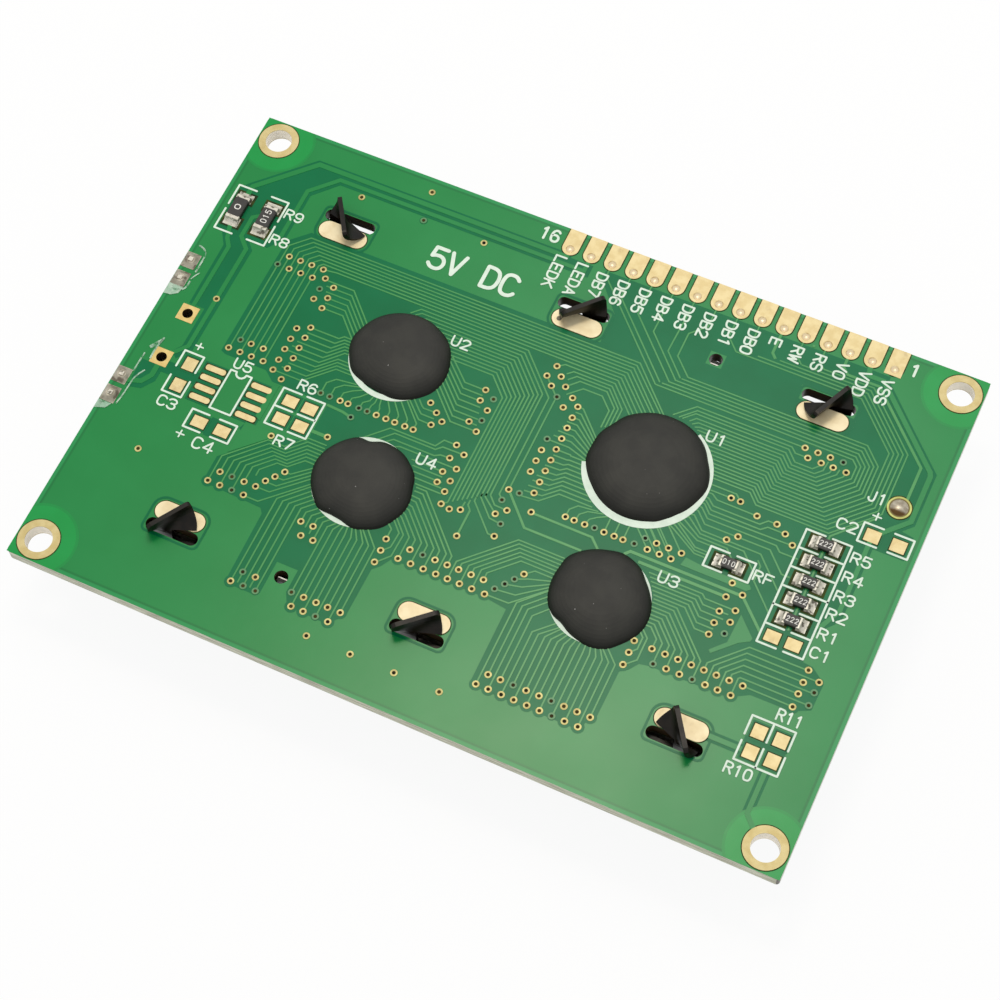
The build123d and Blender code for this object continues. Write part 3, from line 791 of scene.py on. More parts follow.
    def finish(self, name: str, material: bpy.types.Material, slot: str | None = None) -> bpy.types.Object:
        """Gives the flat faces their thickness and makes the piece an object.

        Args:
            name: the piece's name.
            material: its finish.
            slot: the record's material slot, if there is one; not used.

        Returns:
            The object, riding on the module's body.
        """
        bmesh.ops.recalc_face_normals(self.mesh, faces=self.mesh.faces)
        made = bmesh.ops.extrude_face_region(self.mesh, geom=self.mesh.faces[:], use_keep_orig=True)
        raised = [item for item in made["geom"] if isinstance(item, bmesh.types.BMVert)]
        bmesh.ops.translate(self.mesh, verts=raised, vec=(0, 0, self.thickness))
        bmesh.ops.recalc_face_normals(self.mesh, faces=self.mesh.faces)
        bmesh.ops.scale(self.mesh, verts=self.mesh.verts, vec=(MM, MM, MM))
        return made_piece(self.mesh, name, material)


@dataclass(frozen=True)
class Bundle:
    """Parallel traces, spread evenly from a first path to a last one."""

    count: int
    first: Path2D
    last: Path2D
    width: float = 0.155

    def paths(self) -> Iterable[list[Point]]:
        """Yields the middle line of each trace."""
        for index in range(self.count):
            share = index / max(self.count - 1, 1)
            yield [
                (a[0] + (b[0] - a[0]) * share, a[1] + (b[1] - a[1]) * share)
                for a, b in zip(self.first, self.last)
            ]


def single(points: Path2D, width: float = 0.155) -> Bundle:
    """One trace by itself."""
    return Bundle(1, points, points, width)


POWER_TRACES = (
    single([(-4.55, 26.7), (-4.55, 26.45), (-35.2, 26.45), (-40.85, 20.8), (-40.85, 19.6)], 0.6),
    single([(-2.0, 26.7), (-2.0, 25.5), (-32.1, 25.5), (-34.85, 22.7), (-34.85, 16.2), (-36.2, 14.9)], 0.5),
    single([(-40.87, 15.4), (-40.3, 13.6), (-39.6, 12.6), (-39.6, 4.0)], 0.5),
    single([(-38.0, 17.8), (-38.95, 17.1), (-38.95, 14.4), (-37.65, 13.1), (-37.65, -0.5),
            (-38.9, -2.0)], 0.5),
    single([(-39.6, -3.6), (-39.6, -5.3), (-40.3, -6.4), (-41.8, -6.9)], 0.6),
    single([(31.01, 27.0), (31.3, 25.7), (33.0, 25.7), (41.3, 17.4), (41.5, 16.9), (41.5, 11.2),
            (39.0, 8.6)], 0.55),
    single([(38.44, 8.0), (38.44, -1.2), (37.4, -3.4), (36.9, -3.9)], 0.5),
    single([(28.47, 27.0), (28.47, 25.6), (29.2, 24.9), (32.8, 24.9), (40.25, 17.5), (40.25, 13.0)], 0.3),
    single([(38.0, 10.0), (35.3, 7.2), (34.45, 6.3), (34.45, -5.3)], 0.22),
    single([(-20.4, -0.9), (-18.5, -1.0), (-17.4, -1.25)], 0.3),
    single([(-20.6, -4.4), (-18.6, -4.4)], 0.4),
    single([(15.8, -4.2), (16.3, -3.65), (28.75, -3.65)], 0.34),
    single([(17.5, -4.4), (27.25, -4.4)], 0.34),
    single([(5.0, -3.75), (12.0, -3.78), (13.2, -4.9)], 0.26),
    single([(1.75, -2.25), (5.1, -5.65), (11.6, -5.65)], 0.26),
    single([(31.5, -19.05), (35.0, -19.05)], 0.55),
    single([(38.05, -20.2), (38.05, -25.0), (39.4, -26.4)], 0.5),
    single([(24.6, 26.9), (24.6, 26.6)], 0.3),
    single([(-0.95, -6.1), (-0.95, -9.3)], 0.22),
)

LEFT_BUS = (
    Bundle(4, [(13.3, 12.3), (8.3, 17.3), (-31.6, 17.3), (-33.45, 15.45), (-33.45, 1.2)],
           [(10.9, 11.1), (7.2, 14.78), (-28.8, 14.78), (-29.2, 14.38), (-29.2, 1.2)]),
    Bundle(3, [(12.9, 12.28), (8.11, 16.88), (-31.13, 16.88), (-32.75, 15.27), (-32.75, 2.6)],
           [(11.4, 11.3), (7.37, 15.2), (-29.27, 15.2), (-29.95, 14.56), (-29.95, 2.6)]),
    single([(10.4, 10.96), (7.0, 14.36), (-26.9, 14.36), (-28.5, 14.15)]),
    single([(0.5, 13.5), (1.0, 13.9), (6.85, 13.9), (10.2, 10.6)]),
    Bundle(3, [(1.6, 12.9), (2.2, 13.46), (6.7, 13.46), (8.8, 11.3), (8.8, 9.3)],
           [(2.4, 11.7), (3.3, 12.64), (6.45, 12.64), (8.0, 11.1), (8.0, 8.6)]),
    single([(2.6, 10.6), (4.0, 11.95), (6.2, 11.95), (7.6, 10.6), (7.6, 8.4)]),
)

CENTRE_BUS = (
    single([(-17.2, 13.0), (-16.3, 13.9), (-3.4, 13.9), (1.05, 9.45), (1.05, -3.1), (1.6, -3.65)]),
    Bundle(10, [(-16.6, 13.0), (-16.0, 13.46), (-3.62, 13.46), (0.25, 9.59), (0.25, -3.6)],
           [(-11.0, 9.56), (-9.8, 9.56), (-5.6, 9.56), (-3.5, 7.46), (-3.5, -6.2)]),
    single([(0.0, 11.6), (1.75, 9.85), (1.75, -2.2)]),
    single([(0.25, -3.6), (1.15, -4.5), (2.6, -4.55)]),
    single([(-0.17, -3.6), (-0.17, -4.0), (1.65, -5.4)]),
    single([(-0.6, -3.8), (-0.6, -4.2), (1.3, -6.1), (2.65, -6.25)]),
    single([(-1.0, -4.4), (-1.0, -4.9), (1.9, -7.8), (2.65, -7.8)]),
    single([(-1.42, -5.0), (-1.42, -5.6), (-0.95, -6.1)]),
    single([(-1.83, -5.4), (-1.9, -6.45)]),
    single([(-3.5, -6.2), (-4.05, -6.65)]),
)

HEADER_FAN = (
    single([(0.53, 27.0), (0.53, 25.86), (10.83, 15.56)]),
    single([(3.07, 27.0), (3.07, 24.1), (11.15, 16.0)]),
    single([(5.61, 27.0), (5.61, 22.9), (12.05, 16.44)]),
    single([(8.15, 27.0), (8.05, 21.5), (12.6, 16.9)]),
    single([(10.69, 27.0), (10.45, 19.9), (13.0, 17.3)]),
    single([(13.23, 27.0), (13.23, 24.4), (11.65, 22.8), (11.65, 19.75), (13.7, 17.74)]),
    Bundle(6, [(10.83, 15.56), (33.4, 15.56), (34.05, 14.9), (34.05, 13.39), (31.4, 10.74),
               (27.29, 10.74), (26.19, 11.84), (17.6, 11.84)],
           [(13.7, 17.74), (34.2, 17.74), (36.1, 15.85), (36.1, 11.87), (32.83, 8.6), (26.69, 8.6),
            (25.59, 9.7), (19.4, 9.7)]),
    single([(15.77, 27.0), (15.77, 24.2), (17.2, 22.74)]),
    single([(18.31, 27.0), (18.31, 23.7), (18.85, 23.18)]),
    single([(20.85, 27.0), (20.85, 24.2), (21.4, 23.62)], 0.3),
    single([(23.39, 27.0), (23.39, 24.9), (24.2, 24.06)]),
    single([(25.93, 27.0), (25.93, 25.2), (26.6, 24.5)]),
    Bundle(5, [(17.2, 22.74), (31.6, 22.74), (36.6, 17.75), (36.6, 11.66), (33.1, 8.16), (26.55, 8.16),
               (25.45, 9.26), (19.8, 9.26)],
           [(26.6, 24.5), (32.35, 24.5), (38.44, 18.4), (38.44, 10.78), (34.2, 6.54), (26.1, 6.54),
            (25.0, 7.64), (20.4, 7.64)]),
    single([(14.0, 12.9), (16.0, 14.84), (28.3, 14.84)]),
    single([(14.7, 12.9), (16.2, 14.4), (27.0, 14.4), (27.6, 13.85), (29.0, 13.85)]),
    single([(15.1, 12.9), (16.2, 14.0), (26.8, 14.0), (27.95, 12.85), (29.9, 12.85), (30.5, 13.5)]),
    Bundle(4, [(15.9, 12.9), (16.5, 13.5), (26.65, 13.5), (27.75, 12.4), (30.3, 12.4), (31.0, 13.1),
               (31.15, 14.3)],
           [(17.1, 12.24), (17.6, 12.24), (26.25, 12.24), (27.33, 11.16), (31.1, 11.16), (33.2, 13.25),
            (33.3, 13.7)]),
)

UPPER_LEFT_CHIP = (
    Bundle(6, [(-27.5, 13.06), (-24.15, 13.06), (-20.9, 9.8), (-20.4, 9.3)],
           [(-26.1, 9.7), (-23.85, 9.7), (-21.3, 7.15), (-20.9, 6.9)]),
    Bundle(6, [(-26.2, 6.95), (-22.95, 6.95), (-22.5, 7.4), (-21.1, 7.4)],
           [(-27.5, 3.4), (-23.6, 3.4), (-21.5, 5.55), (-20.6, 5.55)]),
    Bundle(4, [(-26.2, 2.75), (-23.7, 2.75), (-21.85, 4.6), (-20.2, 4.6)],
           [(-27.5, 0.6), (-24.3, 0.6), (-21.5, 3.4), (-19.0, 3.4)]),
    Bundle(4, [(-21.7, 0.1), (-21.7, 1.5), (-20.9, 2.3), (-18.6, 2.6)],
           [(-18.4, 0.1), (-18.3, 0.9), (-17.6, 1.4), (-16.8, 2.3)]),
    Bundle(3, [(-17.1, 0.1), (-17.0, 0.9), (-16.4, 1.4), (-16.2, 2.3)],
           [(-15.0, 0.1), (-15.0, 0.9), (-15.2, 1.3), (-15.4, 2.3)]),
    Bundle(4, [(-13.85, 0.1), (-13.85, 1.0), (-14.0, 1.3), (-14.7, 2.3)],
           [(-10.6, 0.1), (-10.6, 0.9), (-10.9, 1.2), (-12.8, 3.1)]),
    Bundle(3, [(-9.1, 1.4), (-10.6, 1.45), (-11.0, 1.8), (-12.6, 3.3)],
           [(-9.2, 2.95), (-10.7, 2.9), (-11.0, 3.1), (-11.6, 3.7)]),
    Bundle(8, [(-10.6, 9.9), (-8.0, 7.55), (-5.8, 7.55)], [(-10.9, 6.0), (-7.4, 2.6), (-4.4, 2.6)]),
)

LOWER_LEFT_CHIP = (
    single([(-5.5, 0.3), (-7.0, 0.3), (-7.6, -0.7), (-12.9, -0.7), (-15.0, -2.8)]),
    single([(-4.3, -0.45), (-6.8, -0.5), (-7.4, -1.08), (-12.2, -1.08), (-13.8, -2.7)]),
    single([(-5.55, -1.4), (-6.6, -1.45), (-7.2, -1.8), (-12.0, -1.8), (-12.9, -2.6)]),
    single([(-4.35, -2.3), (-11.0, -2.3), (-11.6, -2.6)]),
    Bundle(5, [(-5.55, -3.15), (-9.2, -3.15)], [(-4.6, -5.6), (-7.6, -5.6)]),
    Bundle(4, [(-7.4, -9.6), (-7.1, -9.8), (-5.42, -11.5), (-5.42, -14.0)],
           [(-7.3, -6.4), (-6.3, -6.4), (-1.06, -11.65), (-1.06, -14.0)]),
    Bundle(4, [(-7.35, -9.1), (-6.95, -9.3), (-4.72, -11.5), (-4.72, -12.6)],
           [(-7.3, -5.95), (-6.1, -5.95), (-0.42, -11.65), (-0.42, -12.6)]),
    single([(-7.54, -12.6), (-7.54, -11.4), (-8.4, -10.7)]),
    single([(-7.4, -14.06), (-6.7, -13.3), (-6.6, -11.5), (-7.8, -10.3)]),
    single([(-7.4, -15.52), (-6.2, -14.2), (-6.1, -11.5), (-7.6, -10.0)]),
    Bundle(3, [(-18.2, -5.35), (-20.4, -5.35), (-22.3, -7.25), (-24.25, -7.25), (-27.92, -10.95),
               (-27.92, -14.0)],
           [(-18.2, -7.03), (-19.75, -7.03), (-21.35, -8.65), (-22.8, -8.65), (-25.04, -10.9),
            (-25.04, -14.0)]),
    Bundle(3, [(-18.2, -5.77), (-20.25, -5.77), (-22.05, -7.6), (-23.95, -7.6), (-27.2, -10.9),
               (-27.2, -12.5)],
           [(-18.1, -7.45), (-19.6, -7.45), (-21.1, -9.0), (-22.5, -9.0), (-24.3, -10.8),
            (-24.3, -12.5)]),
    single([(-18.1, -7.9), (-19.5, -7.9), (-20.9, -9.3), (-22.1, -9.35), (-23.5, -10.8), (-23.5, -11.6)]),
    Bundle(4, [(-20.86, -9.96), (-20.2, -9.96), (-17.9, -8.0)],
           [(-22.92, -12.74), (-21.3, -12.74), (-17.4, -9.1)]),
    single([(-23.64, -14.2), (-21.9, -14.2), (-17.2, -9.7)]),
    Bundle(5, [(-20.2, -23.4), (-20.2, -13.1), (-17.0, -9.9)],
           [(-17.32, -23.4), (-17.32, -13.1), (-15.6, -11.4)]),
    Bundle(4, [(-16.64, -14.4), (-16.64, -13.3), (-15.4, -12.1)],
           [(-14.48, -15.9), (-14.48, -13.6), (-13.7, -12.8)]),
    Bundle(5, [(-13.82, -22.0), (-13.82, -13.9), (-13.0, -13.0)],
           [(-8.16, -22.0), (-8.16, -14.1), (-10.0, -12.2)]),
    Bundle(4, [(-13.14, -23.4), (-13.14, -13.9), (-12.6, -13.0)],
           [(-8.88, -23.4), (-8.88, -14.1), (-10.4, -12.5)]),
)

UPPER_RIGHT_CHIP = (
    Bundle(8, [(4.6, 9.7), (5.0, 9.7), (7.8, 6.9)], [(3.2, 4.85), (5.5, 4.85), (7.7, 4.2)]),
    Bundle(10, [(4.5, 4.1), (6.0, 4.1), (6.1, 4.0), (7.9, 4.0)],
           [(3.1, -2.4), (5.15, -2.2), (6.8, -0.6), (10.6, -0.6)]),
    Bundle(3, [(8.5, -2.7), (8.5, -1.8), (9.2, -1.05), (11.4, -0.8)],
           [(10.7, -2.7), (10.9, -2.0), (11.6, -1.45), (12.6, -0.9)]),
    Bundle(3, [(12.9, -2.7), (12.9, -0.9)], [(15.05, -2.7), (15.05, -0.9)]),
    Bundle(4, [(17.8, -2.75), (15.6, -0.6)], [(20.45, -2.75), (17.6, 0.1)]),
    Bundle(3, [(18.4, -1.7), (16.6, 0.1)], [(21.2, -1.75), (18.6, 0.8)]),
    single([(20.4, 6.9), (23.8, 6.9), (24.5, 6.25)]),
    single([(20.4, 6.25), (23.45, 6.25)]),
    single([(20.6, 5.9), (21.5, 5.9), (22.2, 5.44), (26.7, 5.4)]),
    single([(20.6, 5.3), (21.3, 5.3), (22.1, 4.64), (27.3, 4.64), (28.0, 5.35), (28.95, 5.35)]),
    single([(20.6, 4.9), (21.2, 4.9), (22.1, 4.1), (27.6, 4.1), (28.2, 4.65), (30.15, 4.65)]),
    single([(20.5, 4.6), (21.2, 4.5), (22.1, 3.6), (31.3, 3.7)]),
    single([(20.5, 4.1), (21.1, 4.0), (22.1, 3.05), (29.8, 3.05), (30.4, 2.5), (32.4, 2.5)]),
    single([(20.4, 3.6), (20.9, 3.5), (22.1, 2.34), (29.4, 2.34), (31.5, 0.25), (32.4, 0.25)]),
    Bundle(4, [(19.8, 2.6), (20.7, 2.9), (22.1, 1.55), (28.7, 1.5), (31.8, -1.6)],
           [(18.4, 0.6), (19.5, 1.6), (22.1, 0.3), (23.6, 0.3), (23.6, 0.2)]),
    Bundle(3, [(19.2, 1.5), (19.6, 1.3), (22.2, -0.5), (23.6, -0.5)],
           [(18.6, 0.9), (19.4, 0.5), (22.4, -1.2), (23.6, -1.2)]),
    single([(28.7, 0.74), (29.2, 0.2), (29.2, -1.6), (31.9, -4.3)]),
    single([(28.75, -3.6), (31.9, -6.6)], 0.3),
)

LOWER_RIGHT_CHIP = (
    Bundle(6, [(19.0, -5.06), (24.95, -5.06), (25.4, -5.45), (28.5, -5.45)],
           [(20.4, -7.2), (23.9, -7.2), (25.7, -8.95), (27.2, -8.95)]),
    Bundle(3, [(10.4, -7.15), (5.15, -7.15), (0.28, -12.0), (0.28, -14.0)],
           [(10.3, -8.8), (6.1, -8.8), (3.06, -11.8), (3.06, -14.0)]),
    Bundle(3, [(10.4, -7.55), (5.4, -7.55), (0.9, -12.0), (0.9, -12.6)],
           [(10.3, -9.25), (6.4, -9.25), (3.74, -11.9), (3.74, -12.6)]),
    Bundle(5, [(7.3, -10.48), (8.2, -9.7), (10.4, -9.7)], [(4.52, -14.16), (7.2, -14.1), (10.6, -10.9)]),
    Bundle(2, [(7.94, -23.5), (7.94, -13.7), (10.6, -11.0)],
           [(9.32, -23.5), (9.32, -13.9), (11.0, -12.2)]),
    Bundle(2, [(8.64, -22.0), (8.64, -13.8), (10.8, -11.6)],
           [(10.02, -22.0), (10.02, -14.4), (11.4, -12.9)]),
    Bundle(7, [(10.76, -23.5), (10.76, -16.0), (13.2, -13.6)],
           [(19.22, -23.5), (19.22, -15.9), (17.8, -14.5)]),
    Bundle(7, [(11.44, -22.0), (11.44, -16.0), (13.6, -14.0)],
           [(19.94, -22.0), (19.94, -15.9), (18.1, -14.1)]),
    single([(20.62, -12.7), (20.1, -12.0)]),
    single([(20.66, -14.08), (21.3, -13.4), (21.3, -12.0), (20.5, -11.2)]),
    single([(20.7, -15.54), (21.75, -14.5), (21.75, -11.9), (20.6, -10.8)]),
    Bundle(4, [(20.6, -10.6), (21.6, -10.6), (22.64, -11.6), (22.64, -12.6)],
           [(20.6, -8.0), (23.0, -8.0), (26.96, -11.9), (26.96, -12.6)]),
    Bundle(4, [(20.6, -10.2), (21.8, -10.2), (23.36, -11.8), (23.36, -14.1)],
           [(20.6, -7.6), (23.2, -7.6), (27.66, -12.0), (27.66, -14.0)]),
    Bundle(3, [(37.95, -8.55), (31.6, -8.6), (28.34, -11.9), (28.34, -12.6)],
           [(37.95, -11.3), (31.8, -11.35), (31.1, -12.05), (31.1, -12.6)]),
    Bundle(3, [(39.4, -9.3), (31.6, -9.3), (29.06, -11.9), (29.06, -14.0)],
           [(39.4, -12.04), (32.0, -12.04), (31.84, -12.2), (31.84, -14.0)]),
    single([(37.9, -12.8), (32.6, -12.77)]),
)

CORNER_HOLES: Path2D = ((-41.0, -27.5), (41.0, -27.5), (41.0, 27.5), (-41.0, 27.5))

BARE_AREAS: tuple[Path2D, ...] = (
    [(-31.9, 17.95), (-34.0, 15.9), (-34.1, 0.5), (-33.5, 0.25), (-28.5, 0.25), (-28.0, -0.1),
     (-27.2, -0.75), (-20.4, -0.75), (-20.4, -5.8), (-21.4, -5.9), (-23.4, -6.8), (-25.2, -8.0),
     (-28.4, -11.2), (-28.4, -14.2), (-27.9, -14.5), (-21.3, -14.75), (-20.85, -15.3), (-20.75, -23.6),
     (-20.2, -23.9), (-17.2, -23.9), (-16.8, -23.5), (-16.8, -22.0), (-16.8, -19.6), (-14.35, -19.6),
     (-14.35, -22.3), (-13.6, -23.6), (-8.9, -23.8), (-8.4, -23.2), (-7.5, -22.2), (-7.4, -16.4),
     (-6.7, -15.7), (-6.0, -14.5), (4.8, -14.5), (7.25, -14.8), (7.3, -23.6), (7.8, -23.8), (19.3, -23.8),
     (19.9, -22.5), (20.5, -22.1), (20.6, -16.4), (21.4, -15.8), (22.1, -14.8), (23.2, -14.6),
     (32.0, -14.5), (32.5, -14.0), (33.6, -13.35), (38.0, -13.3), (39.8, -12.4), (39.9, -9.3),
     (39.3, -8.8), (38.2, -8.0), (37.1, -7.9), (37.1, -4.4), (39.0, -2.2), (39.0, 6.7), (42.4, 6.7),
     (42.4, 9.6), (41.0, 9.8), (42.05, 10.9), (42.05, 17.4), (41.5, 17.95)],
    rectangle(3.3, 14.7, 17.95, 21.85), rectangle(14.7, 16.5, 17.95, 20.12),
    rectangle(16.5, 25.2, 17.95, 21.85), rectangle(25.2, 31.9, 17.95, 20.15),
    [(31.9, 17.95), (41.5, 17.95), (37.6, 21.85), (31.9, 21.85)],
    [(3.3, 21.85), (37.6, 21.85), (33.5, 26.0), (33.5, 26.5), (0.2, 26.5), (0.2, 25.4)],
    [(-4.0, 26.98), (-35.5, 26.98), (-41.45, 21.0), (-42.1, 20.2), (-42.1, 14.4), (-41.3, 14.2),
     (-40.25, 12.6), (-40.2, 4.4), (-38.3, 4.4), (-38.3, -0.7), (-39.0, -1.7), (-38.2, -2.4),
     (-37.0, -0.9), (-36.95, 13.2), (-37.9, 14.2), (-35.6, 14.2), (-34.25, 16.0), (-34.25, 22.3),
     (-31.8, 24.9), (-1.3, 24.9), (-1.3, 26.5), (-4.0, 26.5)],
    [(-41.5, -3.9), (-41.5, -7.6), (-39.9, -7.2), (-38.9, -5.8), (-38.9, -3.9)],
    rectangle(-38.9, -34.6, -3.0, -4.5), rectangle(-31.05, -30.25, -7.2, -9.5),
    [(-27.4, -6.2), (-26.4, -6.2), (-27.3, -7.6), (-27.8, -7.2)],
    rectangle(31.4, 35.0, -18.45, -19.65),
    [(37.5, -20.4), (38.6, -20.4), (38.6, -23.9), (37.5, -24.9)],
    rectangle(34.8, 39.2, -17.45, -18.1),
)

COPPER_ISLANDS: tuple[Path2D, ...] = (
    [(21.8, -1.95), (24.0, -2.2), (29.0, -2.2), (29.3, -2.6), (28.9, -2.98), (21.6, -2.98)],
    [(29.45, -5.6), (31.5, -7.6), (31.4, -8.0), (30.4, -8.6), (28.2, -10.8), (27.9, -10.5), (29.3, -9.0)],
    [(-27.5, -6.3), (-24.4, -6.2), (-24.2, -7.0), (-27.6, -10.3)],
    [(-26.9, -1.2), (-26.2, -0.9), (-26.2, -5.6), (-26.9, -5.2)],
)

VIA_ROWS: tuple[tuple[float, Sequence[float]], ...] = (
    (14.15, (-32.75, -31.35, -29.95, -28.5)),
    (12.72, (-32.05, -30.6, -29.15)),
    (2.5, (-31.45, -29.95)),
    (1.1, (-33.5, -32.1, -30.7, -29.25)),
    (0.1, (-19.35, -18.4, -15.0, -13.85, -12.8, -11.6, -10.6)),
    (-2.75, (8.5, 9.5, 10.7, 12.9, 14.05, 15.05, 17.8, 19.15, 20.45)),
    (-1.72, (18.4, 19.75, 21.2)),
    (14.85, (28.3, 29.75, 31.15)),
    (13.85, (29.0, 30.5, 31.85, 33.3)),
    (-14.16, (-27.92, -26.48, -23.64)),
    (-12.74, (-27.2, -24.3, -22.92)),
    (-14.46, (-16.64, -15.2)),
    (-15.92, (-15.9, -14.48)),
    (-12.76, (-4.72, -1.82, -0.42, 0.9, 2.32, 3.74)),
    (-14.18, (-5.42, -3.96, -2.5, -1.06, 0.28, 1.66, 3.06, 4.52)),
    (-22.1, (-18.04, -12.4, -10.96, -9.62, -8.16, 8.64, 10.02, 12.88, 14.3, 17.06, 18.5, 19.94)),
    (-23.53, (-20.2, -13.14, -11.74, -8.88, 7.94, 9.32, 10.76, 12.16, 13.6, 15.0, 17.76, 19.22)),
    (-12.77, (22.64, 24.08, 25.5, 26.96, 28.34, 29.7, 31.1, 32.56)),
    (-14.2, (24.82, 26.26, 29.06, 30.42, 31.84)),
)

VIA_COLUMNS: tuple[tuple[float, Sequence[float]], ...] = (
    (-26.4, (12.5, 11.05, 9.65, 6.95, 5.55, 4.15, 2.75, 1.35, -0.1)),
    (-27.77, (13.2, 10.35, 6.25, 4.8, 3.4, 1.95, 0.6)),
    (-5.55, (7.6, 6.2, 3.4, 0.3, -1.4, -3.15, -4.5)),
    (-4.33, (5.4, 2.6, -0.45, -2.3, -3.85, -5.2)),
    (4.35, (-1.55, -0.15, 1.3, 2.7, 4.1, 5.5, 6.9, 8.25, 9.7)),
    (2.95, (0.6, 2.0, 3.4, 9.0)),
    (27.27, (-2.7, -4.4, -6.15, -7.55, -8.95)),
    (28.75, (-3.55, -5.45, -6.85)),
    (37.95, (-8.5, -9.95, -11.3, -12.82)),
    (20.65, (-12.68, -14.08, -15.54)),
)

LONE_VIAS: Path2D = (
    (-18.6, -4.4), (-24.2, -6.7), (-10.3, 3.8), (-9.2, 2.95), (-8.2, 2.2), (-9.1, 1.4), (-4.05, -6.65),
    (-3.0, -6.85), (-1.9, -6.45), (-0.95, -9.35), (2.65, -7.8), (1.65, -5.4), (2.6, -4.55), (1.75, -2.25),
    (3.4, 10.45), (0.25, 13.35), (1.2, 12.35), (-0.25, 11.85), (2.15, 11.4), (0.7, 10.9), (5.0, -3.7),
    (23.45, 6.25), (24.5, 6.25), (26.7, 5.4), (28.95, 5.35), (30.15, 4.65), (31.3, 3.75), (25.8, 2.4),
    (24.85, 1.6), (39.4, -9.3), (-20.86, -9.96), (-21.56, -10.88), (-22.26, -11.74), (-7.54, -12.66),
    (-7.48, -14.06), (-7.48, -15.52), (7.3, -10.48),
)

POUR_VIAS: Path2D = (
    (-21.85, 28.15), (-28.85, 24.4), (-13.65, 24.4), (-37.65, 6.05), (-36.58, -13.82), (-10.18, -25.82),
    (-5.16, -25.82), (-0.18, -25.82), (4.92, -25.82),
)

TENTED_VIAS: Path2D = (
    (-33.5, 12.75), (-27.75, 11.75), (-21.1, 24.4), (-32.75, 2.5), (-21.7, 0.1), (-20.6, 0.1),
    (-17.1, 0.1), (-16.1, 0.1), (-17.4, -1.25), (-4.3, 6.9), (-4.35, 4.05), (2.65, -6.25), (1.6, -3.65),
    (2.95, -2.2), (2.95, 4.85), (1.8, 9.9), (11.8, -2.7), (16.3, -2.7), (17.1, -1.65), (28.7, -8.25),
    (32.6, 14.85), (-25.76, -12.74), (-25.04, -14.16), (-19.52, -22.1), (-18.76, -23.5), (-17.32, -23.5),
    (-3.24, -12.76), (5.22, -13.22), (5.95, -12.3), (6.64, -11.4), (-13.82, -22.1), (-10.32, -23.52),
    (11.44, -22.1), (15.66, -22.1), (16.36, -23.55), (23.4, -14.25), (27.66, -14.2), (39.36, -10.54),
    (39.36, -12.04),
)


